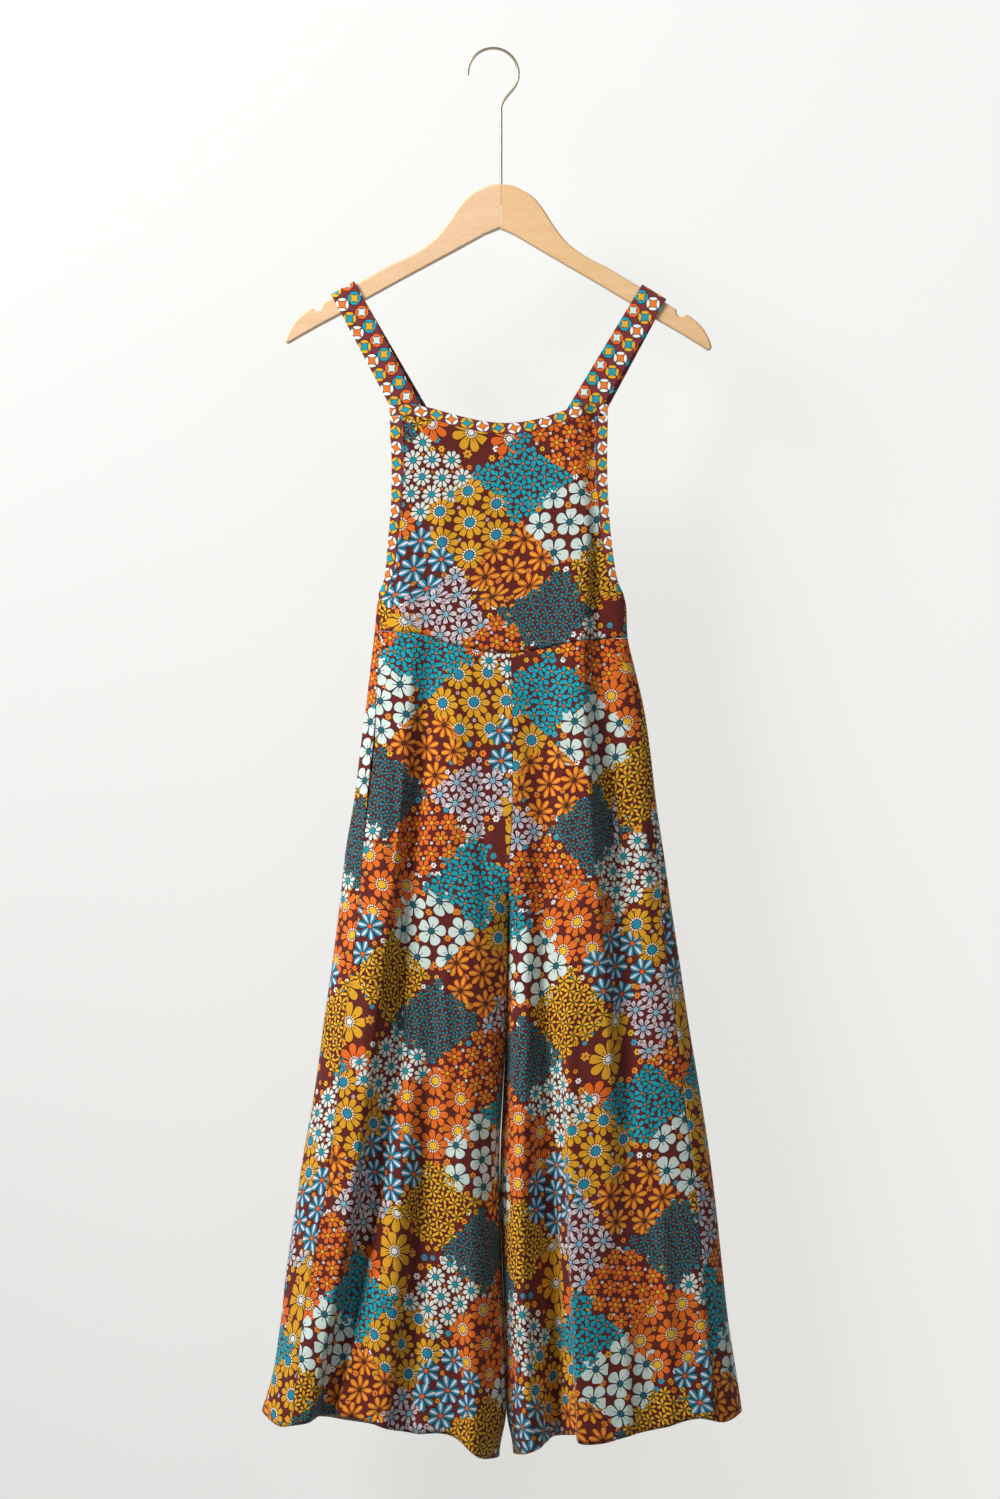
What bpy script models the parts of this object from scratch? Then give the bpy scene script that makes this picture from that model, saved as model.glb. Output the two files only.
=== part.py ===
"""Wide-leg dungaree overalls hanging flat on a wooden hanger.

Metres, +Z up, the front faces -Y. The origin is the underside of the hook's arch, where a rail
carries it. Sizes below are in millimetres and are turned to metres as each mesh is made.

Every panel of cloth is read from one of two forms: the bodice, a flattened ring that is cut open
at the armholes, and the legs, the same ring that parts into two at the crotch. A panel is the
stretch of that form between its seams, given its thickness.
"""

import math

import bmesh
import bpy
import numpy as np

MM = 0.001

CLOTH = 1.6
BAND = 2.4
POCKET = 2.4
SEAM_GAP = 0.3
# A little more where both edges curve, because their straight facets cut the corners.
CURVED_SEAM_GAP = 0.5
COLLECTION = "dungaree_overalls"
SMOOTH_BELOW = math.radians(40)

# How many millimetres of a line one radian of turning counts for, as points are spread along it.
TURN_WEIGHT = 9.0

# The heights where the form changes.
NECK_Z = -379.8
UNDERARM_Z = -571.0
WAIST_Z = -601.0
CROTCH_Z = -899.0
HEM_Z = -1410.0

# One row a level: height, outline at the left and right, half the depth from front to back.
OUTLINE = (
    # z, left, right, half_depth
    (-360, -116, 111, 11),
    (-441, -113, 110, 11),
    (-476, -114, 111.5, 11.5),
    (-505, -116.5, 114, 12),
    (-530, -118.5, 117, 12.5),
    (-551, -121.5, 121, 13),
    (-563, -126, 126, 13),
    (-571, -127.5, 128.5, 13.5),
    (-601, -130.5, 131, 15),
    (-636, -134.5, 139, 17),
    (-671, -138.5, 147, 19),
    (-717, -144.5, 154, 21),
    (-774, -151.5, 160.5, 23),
    (-828, -160.5, 168.5, 25),
    (-886, -167, 176.5, 26),
    (-946, -174.5, 185.5, 28),
    (-1012, -184, 195, 30),
    (-1066, -191, 204, 31),
    (-1143, -204.5, 216, 33),
    (-1199, -213, 223, 34),
    (-1246, -220.5, 228, 35),
    (-1318, -229, 236, 36),
    (-1368, -236.5, 243.5, 37),
    (-1410, -247.5, 249.5, 38),
)

# How far the side seam or the armhole band's inner edge lies inside the outline, on the bodice.
BODICE_INSET = (
    # z, inset
    (-380, 13.5),
    (-441, 12.5),
    (-476, 10.5),
    (-532, 9.5),
    (-552, 7.5),
    (-563, 6.5),
    (-571, 0),
    (-601, 5.5),
)

# How much of the ring's turn at the side is left: 1 where front and back meet there.
SIDE_TURN = (
    # z, turn
    (-360, 0.75),
    (-476, 0.80),
    (-530, 0.88),
    (-552, 0.955),
    (-563, 1.0),
)

# The seams seen on the front of the legs, and the line between the legs.
LEG_SEAMS = (
    # z, left side seam, right side seam, centre
    (-601, -125, 125.5, 10.5),
    (-671, -128.5, 139.5, 12),
    (-717, -131, 147, 12.5),
    (-774, -137, 153, 12),
    (-828, -142, 160.5, 8.5),
    (-886, -146, 166, 7.5),
    (-946, -153, 171.5, 7),
    (-1012, -162, 181.5, 5),
    (-1066, -166, 187, 2),
    (-1128, -173, 195, -1),
    (-1198, -183, 203, 0),
    (-1270, -197, 209, 3),
    (-1318, -204, 213, 5),
    (-1410, -213, 221, 5.5),
)

# The legs part over this height above the crotch, then lie this far to each side of their centre.
PARTING_HEIGHT = 60.0
LEGS_APART = 1.15
# Near the hem they swing out by this much more.
HEM_APART = 7.0
HEM_APART_Z = -1368.0

# Edges that run across, each as the height at points from left to right.
NECK_FRONT = (
    # x, z
    (-116, -368),
    (-101, -367.5),
    (-76, -370.5),
    (-47, -378.5),
    (-20, -384.5),
    (7, -386.8),
    (34, -383.5),
    (67, -373.5),
    (96, -366),
    (111, -367.5),
)
NECK_BACK = (
    # x, z
    (-116, -393),
    (-76, -396),
    (-30, -403),
    (2, -405.5),
    (34, -403),
    (76, -396),
    (111, -393),
)
WAIST_FRONT = (
    # x, z
    (-131, -601),
    (-110, -603),
    (-79, -606),
    (-62, -612),
    (-32, -620),
    (2, -625.5),
    (35, -622),
    (86, -611.5),
    (131, -609),
)
WAIST_BACK = (
    # x, z
    (-131, -601),
    (0, -606),
    (131, -609),
)
HEM_LEFT_FRONT = (
    # x, z
    (-248, -1409),
    (-228, -1419),
    (-210, -1415),
    (-185, -1409),
    (-160, -1409),
    (-132, -1414),
    (-100, -1425),
    (-46, -1431),
    (-21, -1451),
    (-4, -1456),
)
HEM_LEFT_BACK = (
    # x, z
    (-248, -1409),
    (-215, -1423),
    (-160, -1428),
    (-100, -1436),
    (-46, -1442),
    (-4, -1456),
)
HEM_RIGHT_FRONT = (
    # x, z
    (13, -1453),
    (36, -1443),
    (67, -1431),
    (84, -1428),
    (98, -1433),
    (126, -1427),
    (164, -1420),
    (205, -1411),
    (232, -1416),
    (250, -1409),
)
HEM_RIGHT_BACK = (
    # x, z
    (13, -1453),
    (49, -1446),
    (86, -1442),
    (130, -1438),
    (190, -1426),
    (225, -1420),
    (250, -1409),
)

# The largest folds. Each runs down the cloth through its x at these six heights, and stands out
# (or lies in, below zero) by its relief there. Its sides fall away over the two widths. The lean
# is how far its crest is pushed over for each millimetre that it stands out.
FOLD_Z = (-470, -620, -820, -1020, -1220, -1420)
FRONT_FOLDS = (
    # x at the six heights, relief at the six heights, width left, width right, lean
    ((-92, -95, -112, -136, -166, -204), (0, 2, 7, 9, 10, 10), 30, 9, 0.3),
    ((-68, -72, -92, -104, -142, -186), (0, -2, -6, -8, -8, -9), 10, 16, 0.0),
    ((-85, -85, -86, -96, -107, -120), (0, 0, 0, 2, 6, 8), 16, 14, 0.0),
    ((-70, -70, -72, -74, -80, -98), (0, 0, 0, -3, -6, -6), 12, 14, 0.0),
    ((-30, -30, -32, -32, -28, -27), (0, 0, 1, 4, 7, 10), 14, 22, 0.0),
    ((82, 81, 91, 107, 118, 125), (2, 4, 8, 5, 0, 0), 26, 9, 0.2),
    ((97, 97, 116, 128, 135, 140), (-1, -3, -7, -5, 0, 0), 10, 18, 0.0),
    ((24, 24, 24, 25, 19, 26), (0, 0, 2, 6, 9, 11), 14, 12, 0.0),
    ((42, 42, 42, 47, 50, 58), (0, 0, -3, -8, -13, -16), 16, 16, 0.0),
    ((74, 74, 74, 74, 84, 95), (0, 0, 0, 3, 11, 14), 6, 38, -0.75),
)
# How far to each side of a leaning crest the cloth is pushed over with it.
LEAN_WIDTH = 12.0
# The folds die away towards the sides, over this share of the depth.
FOLDS_DIE_OVER = 0.62
BACK_FOLDS = (
    # x at the six heights, relief at the six heights, width left, width right, lean
    ((-92, -100, -116, -136, -160, -186), (0, 2, 6, 9, 10, 11), 22, 16, 0.0),
    ((-60, -62, -72, -84, -98, -114), (0, 0, -4, -7, -9, -10), 16, 16, 0.0),
    ((-28, -28, -30, -34, -38, -44), (0, 0, 3, 5, 8, 10), 16, 18, 0.0),
    ((42, 42, 46, 52, 58, 64), (0, 2, 6, 8, 10, 12), 18, 14, 0.0),
    ((78, 80, 88, 98, 106, 114), (0, 0, -5, -8, -10, -11), 16, 18, 0.0),
    ((118, 120, 132, 148, 164, 180), (0, 2, 5, 7, 9, 10), 18, 20, 0.0),
)

NECKBAND_WIDTH = 11.5
NECKBAND_END = 0.6

# Levels of the bodice's rows, which its panels and the armhole bands share.
ARMHOLE_LEVELS = (
    -379.8, -400, -420, -441, -460, -476, -495, -514, -532, -542, -552, -557.5, -563, -567, -570.5,
)
SIDE_LEVELS = (-571.4, -579.0, -588.0, -600.7)
BACK_BAND_TOP = -406.1
BACK_TOP_Z = -404.8

# How far the armhole's edge lies above the band's other edge, where the band turns under the arm.
ARMHOLE_LIFT = (
    # z of the edge sewn to the bodice, lift
    (-380, 0),
    (-532, 0),
    (-552, 2),
    (-563, 5),
    (-571, 8),
)

# The pocket mouth in the left side seam stands open. The right one lies closed.
POCKET_MOUTH_Z = (-663.0, -829.0)
POCKET_MOUTH_OPEN = 3.6
POCKET_PAST_SEAM = 5.0
POCKET_GAP = 0.8
POCKET_SEWN = 8.0
POCKET_FREE_OVER = 30.0
POCKET_SET_BACK = 9.0
POCKET_LEVELS = (-650, -680, -710, -740, -770, -800, -830, -862)
POCKET_REACH = (
    # z, reach inwards from the side seam
    (-650, 45),
    (-680, 78),
    (-740, 100),
    (-800, 105),
    (-840, 92),
    (-862, 55),
)

# The straps as seen from the front: x and z where each edge crosses the arm and meets the bib.
STRAP_TUCK = 9.0
STRAPS = (
    # side, arm outer x, arm inner x, bib outer x and z, bib inner x and z
    ("left", -174.5, -150.5, (-116.0, -367.0), (-84.0, -367.0)),
    ("right", 169.5, 144.5, (108.0, -364.0), (73.0, -364.0)),
)
STRAP_BACK_SHIFT = 6.0
STRAP_STEPS = 9
STRAP_CLEARANCE = 0.45
STRAP_TURN_RADIUS = 4.05
STRAP_LIFT = 2.3
STRAP_DROP = 7.0
STRAP_IN = 1.9

# The hanger: half its outline, as the distance from the centre line and the height.
HANGER_THICKNESS = 12.0
HANGER_ROUNDING = 2.4
PAST_CENTRE = 8.0
HANGER_TILT = math.radians(0.93)
HANGER_TURNS_AT_Z = -140.0
HANGER_TOP = (
    # out, z
    (0, -138.5),
    (12, -140),
    (24, -145.5),
    (35, -152.5),
    (45.5, -165.5),
    (56, -181.5),
    (67.5, -196),
    (82, -207.5),
    (114, -224.5),
    (145, -242.5),
    (178, -262),
)
HANGER_TOP_STEPS = 30
HANGER_ARCS = (
    # centre out, centre z, radius, first angle, last angle, steps: the notch, the end, the tip
    (188.8, -267.9, 4.8, 158, 329, 6),
    (171.0, -316.4, 51.6, 62, 15, 7),
    (217.9, -303.9, 3.0, 15, -121, 5),
)
HANGER_UNDER = (
    # out, z
    (188, -289.6),
    (164, -276.4),
    (138, -260.5),
    (99.5, -238.5),
    (46.5, -209),
    (16, -191.4),
    (0, -184.6),
)

WIRE_RADIUS = 1.5
HOOK_RADIUS = 26.3
HOOK_CENTRE = (-8.2, -23.4)
HOOK_TIP_ANGLE = 184.0
HOOK_TURN_ANGLE = -38.0
HOOK_STEPS = 23
HOOK_BEND_STEPS = 9
STEM_TOP_Z = -60.0
STEM_END_Z = -160.0
STEM_CLEARANCE = 0.3

MAROON = (0.16, 0.018, 0.026, 1.0)
TRIM_MAROON = (0.2, 0.03, 0.03, 1.0)
BEECH_PINK = (0.86, 0.56, 0.35, 1.0)
BEECH_YELLOW = (0.84, 0.57, 0.31, 1.0)
NICKEL = (0.55, 0.5, 0.43, 1.0)


def curve(x, table, column=1):
    """Reads a table's column at x as a smooth line: cubic pieces with slopes from the neighbours."""
    rows = np.array(table, float)
    rows = rows[np.argsort(rows[:, 0])]
    known, values = rows[:, 0], rows[:, column]
    slopes = np.gradient(values, known)
    x = np.clip(np.asarray(x, float), known[0], known[-1])
    i = np.clip(np.searchsorted(known, x) - 1, 0, len(known) - 2)
    step = known[i + 1] - known[i]
    t = (x - known[i]) / step
    rise = t * t * (3 - 2 * t)
    return (
        values[i] * (1 - rise)
        + values[i + 1] * rise
        + step * t * (1 - t) * (slopes[i] * (1 - t) - slopes[i + 1] * t)
    )


def straight(x, table, column=1):
    """Reads a table's column at x with straight lines between its rows."""
    rows = np.array(table, float)
    rows = rows[np.argsort(rows[:, 0])]
    return np.interp(x, rows[:, 0], rows[:, column])


def ease(x):
    """0 below 0, 1 above 1, and a smooth step between."""
    x = np.clip(x, 0, 1)
    return x * x * (3 - 2 * x)


def folded(x, z, folds):
    """How far the cloth stands out at (x, z), and how far it is pushed sideways."""
    out = np.zeros_like(x)
    aside = np.zeros_like(x)
    for path, relief, left, right, lean in folds:
        at = curve(z, tuple(zip(FOLD_Z, path)))
        height = curve(z, tuple(zip(FOLD_Z, relief)))
        width = np.where(x < at, left, right)
        crest = height * np.exp(-(((x - at) / width) ** 2))
        near = height * np.exp(-(((x - at) / LEAN_WIDTH) ** 2))
        out += crest
        aside += lean * near
    return out, aside


def flat_ring(across, half_depth, turn=1.0):
    """Depth of a flattened ring at across, which runs from -1 at its left to 1 at its right."""
    return half_depth * np.sqrt(np.maximum(0, 1 - (turn * across) ** 4))


def bodice_point(x, z_level, front, z):
    """A point of the bodice's form: x and the level give the depth, and z is where it hangs."""
    left, right = curve(z_level, OUTLINE, 1), curve(z_level, OUTLINE, 2)
    across = (x - (left + right) / 2) / ((right - left) / 2)
    depth = flat_ring(
        np.clip(across, -1, 1),
        curve(z_level, OUTLINE, 3),
        straight(z_level, SIDE_TURN),
    )
    side = np.where(front, -1.0, 1.0)
    out, _ = folded(x, z, FRONT_FOLDS)
    out = np.where(front, out, 0) * ease(depth / curve(z_level, OUTLINE, 3) / FOLDS_DIE_OVER)
    return np.stack([x, side * (depth + out), z], axis=-1)


def even(points, count):
    """The line through points with count new points, closer together where it turns."""
    steps = np.diff(points, axis=0)
    length = np.linalg.norm(steps, axis=1)
    unit = steps / np.maximum(length, 1e-9)[:, None]
    turning = np.arccos(np.clip((unit[1:] * unit[:-1]).sum(axis=1), -1, 1))
    weight = length + TURN_WEIGHT * np.append(turning, 0)
    at = np.append(0, np.cumsum(weight))
    wanted = np.linspace(0, at[-1], count)
    return np.stack([np.interp(wanted, at, points[:, k]) for k in range(3)], axis=1)


def trimmed(points, start, end):
    """The line through points, shorter by start and end along its length."""
    length = np.append(0, np.cumsum(np.linalg.norm(np.diff(points, axis=0), axis=1)))
    keep = (length > start) & (length < length[-1] - end)
    ends = [
        [np.interp(at, length, points[:, k]) for k in range(3)]
        for at in (start, length[-1] - end)
    ]
    return np.vstack([ends[0], points[keep], ends[1]])


def material(name, colour, roughness, metallic=0.0):
    made = bpy.data.materials.new(name)
    made.use_nodes = True
    shader = made.node_tree.nodes["Principled BSDF"]
    shader.inputs["Base Color"].default_value = colour
    shader.inputs["Roughness"].default_value = roughness
    shader.inputs["Metallic"].default_value = metallic
    made.diffuse_color = colour
    return made


def place(name, mesh, finish):
    """Makes the mesh an object of the garment's collection."""
    mesh.materials.clear()
    mesh.materials.append(finish)
    mesh.shade_smooth()
    mesh.set_sharp_from_angle(angle=SMOOTH_BELOW)
    made = bpy.data.objects.new(name, mesh)
    bpy.data.collections[COLLECTION].objects.link(made)
    return made


def cloth(name, path, columns, stops, thickness, finish, inwards=0.0):
    """A wall of cloth. path(stop) is the line across it at each stop down its length.

    The wall is lofted here because Solidify reads an edge's direction from one piece alone, and
    two pieces that meet in a curve would then run into each other at the seam.
    """
    rows = len(stops) - 1
    between = np.interp(np.arange(4 * rows + 1) / 4, np.arange(rows + 1), stops)
    fine = np.array([even(path(stop), 6 * columns + 1) for stop in between])
    normals = np.cross(np.gradient(fine, axis=1), np.gradient(fine, axis=0))
    normals /= np.linalg.norm(normals, axis=2, keepdims=True)
    middle, normals = fine[::4, ::6], normals[::4, ::6]
    if (middle[..., 1] * normals[..., 1]).sum() < 0:
        normals = -normals
    middle = middle - normals * inwards
    count = rows + 1, columns + 1
    mesh = bpy.data.meshes.new(name)
    shell = bmesh.new()
    sides = [
        [
            [shell.verts.new(point * MM) for point in row]
            for row in middle + normals * (way * thickness / 2)
        ]
        for way in (1, -1)
    ]
    for grid in sides:
        for i in range(rows):
            for j in range(columns):
                shell.faces.new(
                    (grid[i][j], grid[i][j + 1], grid[i + 1][j + 1], grid[i + 1][j])
                )
    rim = [(0, j) for j in range(count[1])]
    rim += [(i, columns) for i in range(1, count[0])]
    rim += [(rows, j) for j in range(columns - 1, -1, -1)]
    rim += [(i, 0) for i in range(rows - 1, 0, -1)]
    for (i, j), (k, m) in zip(rim, rim[1:] + rim[:1]):
        shell.faces.new((sides[0][i][j], sides[0][k][m], sides[1][k][m], sides[1][i][j]))
    bmesh.ops.recalc_face_normals(shell, faces=shell.faces)
    shell.to_mesh(mesh)
    shell.free()
    return place(name, mesh, finish)


def bodice_edges(z_level, inset):
    """x of the bodice's left and right edges at a level, inset from the outline."""
    return (
        curve(z_level, OUTLINE, 1) + inset,
        curve(z_level, OUTLINE, 2) - inset,
    )


def waist_share(z_level):
    """How far down from the underarm to the waist a level lies, so that the rows above the
    underarm stay level with the armhole bands."""
    return max(0.0, (z_level - UNDERARM_Z) / (WAIST_Z - UNDERARM_Z))


def bodice_front_path(z_level):
    v = (z_level - NECK_Z) / (WAIST_Z - NECK_Z)
    left, right = bodice_edges(z_level, straight(z_level, BODICE_INSET))
    x = (left + right) / 2 + (right - left) / 2 * np.sin(np.linspace(-math.pi / 2, math.pi / 2, 400))
    neck = curve(x, NECK_FRONT) - NECKBAND_WIDTH - CURVED_SEAM_GAP
    z = (
        z_level
        + (1 - v) ** 2 * (neck - NECK_Z)
        + waist_share(z_level) * (curve(x, WAIST_FRONT) - WAIST_Z)
    )
    line = bodice_point(x, z_level, np.full(x.shape, True), z)
    return trimmed(line, CURVED_SEAM_GAP / 2, CURVED_SEAM_GAP / 2)


def bodice_back_path(z_level):
    """Across the back. Below the underarm the line starts and ends round on the front."""
    v = (z_level - BACK_TOP_Z) / (WAIST_Z - BACK_TOP_Z)
    left, right = bodice_edges(z_level, 0.0)
    middle, half = (left + right) / 2, (right - left) / 2
    inset = straight(z_level, BODICE_INSET)
    edge = math.acos(min(1.0, 1 - inset / half))
    reach = math.pi / 2 + (edge if z_level < UNDERARM_Z else -edge)
    angle = np.linspace(-reach, reach, 500)
    x = middle + half * np.sin(angle)
    front = np.cos(angle) < 0
    neck = curve(x, NECK_BACK) - NECKBAND_WIDTH - CURVED_SEAM_GAP
    z = (
        z_level
        + (1 - v) ** 2 * (neck - BACK_TOP_Z)
        + waist_share(z_level) * (curve(x, WAIST_BACK) - WAIST_Z)
    )
    line = bodice_point(x, z_level, front, z)
    return trimmed(line, CURVED_SEAM_GAP, CURVED_SEAM_GAP)


def neckband_path(v, edge, front):
    """Along the neckband, at v from its top edge to its lower edge."""
    x = np.linspace(edge[0][0] + NECKBAND_END, edge[-1][0] - NECKBAND_END, 200)
    z = curve(x, edge) - v * NECKBAND_WIDTH
    return bodice_point(x, z, np.full(x.shape, front), z)


def armhole_stops():
    """Steps along the armhole band: down the levels on the front, then up them on the back."""
    last = len(ARMHOLE_LEVELS) - 1
    downwards = list(range(last + 1))
    back_end = np.interp(-BACK_BAND_TOP, np.negative(ARMHOLE_LEVELS), downwards)
    upwards = [2 * last - step for step in range(last - 1, math.ceil(back_end), -1)]
    return downwards + upwards + [2 * last - back_end]


def armhole_path(step, side):
    """Across the armhole band, from the armhole's edge to the edge sewn to the bodice."""
    last = len(ARMHOLE_LEVELS) - 1
    front = step < last
    inner_z = np.interp(min(step, 2 * last - step), range(last + 1), ARMHOLE_LEVELS)
    q = np.linspace(0, 1, 30)
    z = inner_z + straight(inner_z, ARMHOLE_LIFT) * (1 - q)
    inset = max(0.0, float(straight(inner_z, BODICE_INSET)) - SEAM_GAP) * q
    x = curve(z, OUTLINE, 1) + inset if side == "left" else curve(z, OUTLINE, 2) - inset
    if abs(step - last) < 1e-6:
        return np.stack([x, np.zeros_like(x), z], axis=-1)
    return bodice_point(x, z, np.full(x.shape, front), z)


def leg_ring(side, z_level, relief=1.0):
    """The whole line round a leg at a level: from its inner front edge, past the outside, to its
    inner back edge. Above the crotch the inner edges lie apart, on the centre seams. The folds
    stand out by their relief, times the factor given."""
    v = (z_level - WAIST_Z) / (HEM_Z - WAIST_Z)
    left, right = float(curve(z_level, OUTLINE, 1)), float(curve(z_level, OUTLINE, 2))
    half_depth = float(curve(z_level, OUTLINE, 3))
    centre = float(curve(z_level, LEG_SEAMS, 3))
    parted = float(ease((CROTCH_Z + PARTING_HEIGHT - z_level) / PARTING_HEIGHT))
    swing = float(ease((HEM_APART_Z - z_level) / (HEM_APART_Z - HEM_Z)))
    apart = LEGS_APART * min(1.0, 8 * parted) + HEM_APART * swing
    outer = left if side == "left" else right
    inner = centre - apart if side == "left" else centre + apart
    angle = np.radians(np.linspace(90, -270, 961))
    front = angle > -math.pi / 2
    x = (inner + outer) / 2 + (inner - outer) / 2 * np.sin(angle)
    across = (x - (left + right) / 2) / ((right - left) / 2)
    whole = flat_ring(np.clip(across, -1, 1), half_depth)
    own = flat_ring(np.clip(np.sin(angle), -1, 1), half_depth)
    depth = (1 - parted) * whole + parted * own
    hem = {
        ("left", True): HEM_LEFT_FRONT,
        ("left", False): HEM_LEFT_BACK,
        ("right", True): HEM_RIGHT_FRONT,
        ("right", False): HEM_RIGHT_BACK,
    }
    waist_z = np.where(front, curve(x, WAIST_FRONT), curve(x, WAIST_BACK))
    hem_z = np.where(front, curve(x, hem[side, True]), curve(x, hem[side, False]))
    z = z_level + (1 - v) ** 2 * (waist_z - WAIST_Z) + v**2 * (hem_z - HEM_Z)
    calm = ease(np.abs(np.cos(angle)) / FOLDS_DIE_OVER)
    calm = np.where(np.sin(angle) < 0, calm, 1 - parted * (1 - calm))
    front_out, front_aside = folded(x, z, FRONT_FOLDS)
    back_out, back_aside = folded(x, z, BACK_FOLDS)
    out = np.where(front, front_out, back_out) * calm * relief
    aside = np.where(front, front_aside, back_aside) * calm * relief
    y = np.where(front, -1.0, 1.0) * (depth + out)
    return np.stack([x + aside, y, z], axis=-1)


def side_seam(side, z_level, ring):
    """How far along the ring the side seam lies."""
    length = np.append(0, np.cumsum(np.linalg.norm(np.diff(ring, axis=0), axis=1)))
    seam = float(curve(z_level, LEG_SEAMS, 1 if side == "left" else 2))
    quarter = len(ring) // 4
    x = ring[quarter : 2 * quarter, 0]
    nearest = np.argmin(np.abs(x - seam))
    return length[quarter + nearest], length[-1]


def mouth_half(side, z):
    """Half the width that the side seam stands open at the pocket mouth."""
    if side == "right":
        return SEAM_GAP / 2
    top, foot = POCKET_MOUTH_Z
    along = np.clip((z - foot) / (top - foot), 0, 1)
    return SEAM_GAP / 2 + POCKET_MOUTH_OPEN / 2 * float(ease(1 - abs(2 * along - 1)))


def leg_path(v, side, front):
    z_level = WAIST_Z - SEAM_GAP / 2 + v * (HEM_Z - WAIST_Z + SEAM_GAP / 2)
    ring = leg_ring(side, z_level)
    seam, total = side_seam(side, z_level, ring)
    half = mouth_half(side, z_level)
    if front:
        return trimmed(ring, SEAM_GAP / 2, total - seam + half)
    return trimmed(ring, seam + half, SEAM_GAP / 2)


def pocket_path(z_level, side):
    """Across a pocket bag: close behind the cloth at the side seam, and inwards of it from there
    hanging clear of the folds."""
    ring = leg_ring(side, z_level)
    plain = leg_ring(side, z_level, 0.0)
    steps = np.linalg.norm(np.diff(ring, axis=0), axis=1)
    seam, total = side_seam(side, z_level, ring)
    inwards = seam - np.append(0, np.cumsum(steps))
    free = ease((inwards - POCKET_SEWN) / POCKET_FREE_OVER)[:, None]
    line = ring * (1 - free) + (plain + (0, POCKET_SET_BACK, 0)) * free
    reach = float(curve(z_level, POCKET_REACH))
    return trimmed(line, seam - reach, total - seam - POCKET_PAST_SEAM)


def hanger_point(way, out, z):
    """Where a point of the outline lies on the leaning hanger: its x and its height."""
    return way * out + HANGER_TILT * (z - HANGER_TURNS_AT_Z), z - HANGER_TILT * way * out


def arm_top(x):
    """Height of the hanger arm's upper edge at x."""
    way = -1 if x < 0 else 1
    near = float(curve(abs(x), HANGER_TOP))
    out = way * (x - HANGER_TILT * (near - HANGER_TURNS_AT_Z))
    return hanger_point(way, out, float(curve(out, HANGER_TOP)))[1]


def over_arm():
    """The strap's way over the arm: its depth, and its height above the arm's upper edge."""
    out = HANGER_THICKNESS / 2 + STRAP_CLEARANCE + BAND / 2
    turn = STRAP_TURN_RADIUS
    rise = STRAP_LIFT
    way = [(-out, -STRAP_DROP), (-out, rise - turn)]
    for degrees in (30, 60, 90):
        angle = math.radians(degrees)
        way.append((turn - out - turn * math.cos(angle), rise - turn + turn * math.sin(angle)))
    return way + [(0, rise)] + [(-y, height) for y, height in reversed(way)]


def strap_path(step, arm, bib):
    """Across a strap, at a step from its front end, up over the hanger arm, to its back end."""
    way = over_arm()
    first, last = STRAP_STEPS, STRAP_STEPS + len(way) - 1
    edges = []
    for arm_x, (bib_x, bib_z) in zip(arm, bib):
        top = np.array([arm_x, 0, arm_top(arm_x)])
        foot = np.array([bib_x + (STRAP_BACK_SHIFT if step > first + 5 else 0), 0, bib_z])
        run = (foot - top) / (top[2] - foot[2])
        y, height = (
            np.interp(step - first, range(len(way)), [row[k] for row in way]) for k in (0, 1)
        )
        if step < first:
            foot_height = bib_z - STRAP_TUCK - top[2]
            height += (foot_height - height) * (1 - step / first)
            y += STRAP_IN * (1 - step / first)
        if step > last:
            foot_height = NECK_BACK[0][1] - STRAP_TUCK - top[2]
            height += (foot_height - height) * (step - last) / first
            y -= STRAP_IN * (step - last) / first
        point = top - run * height
        point[1] = y
        edges.append(point)
    q = np.linspace(0, 1, 20)[:, None]
    return edges[0] * (1 - q) + edges[1] * q


def hanger_outline():
    """Half the outline, from the top of the centre line round the tip and back to it."""
    out = np.linspace(0, HANGER_TOP[-1][0], HANGER_TOP_STEPS + 1)
    points = list(zip(out, curve(out, HANGER_TOP)))
    for centre_out, centre_z, radius, first, last, steps in HANGER_ARCS:
        for angle in np.radians(np.linspace(first, last, steps + 1)):
            x, z = centre_out + radius * math.cos(angle), centre_z + radius * math.sin(angle)
            points.append((x, z))
    return points + list(HANGER_UNDER)


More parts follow.
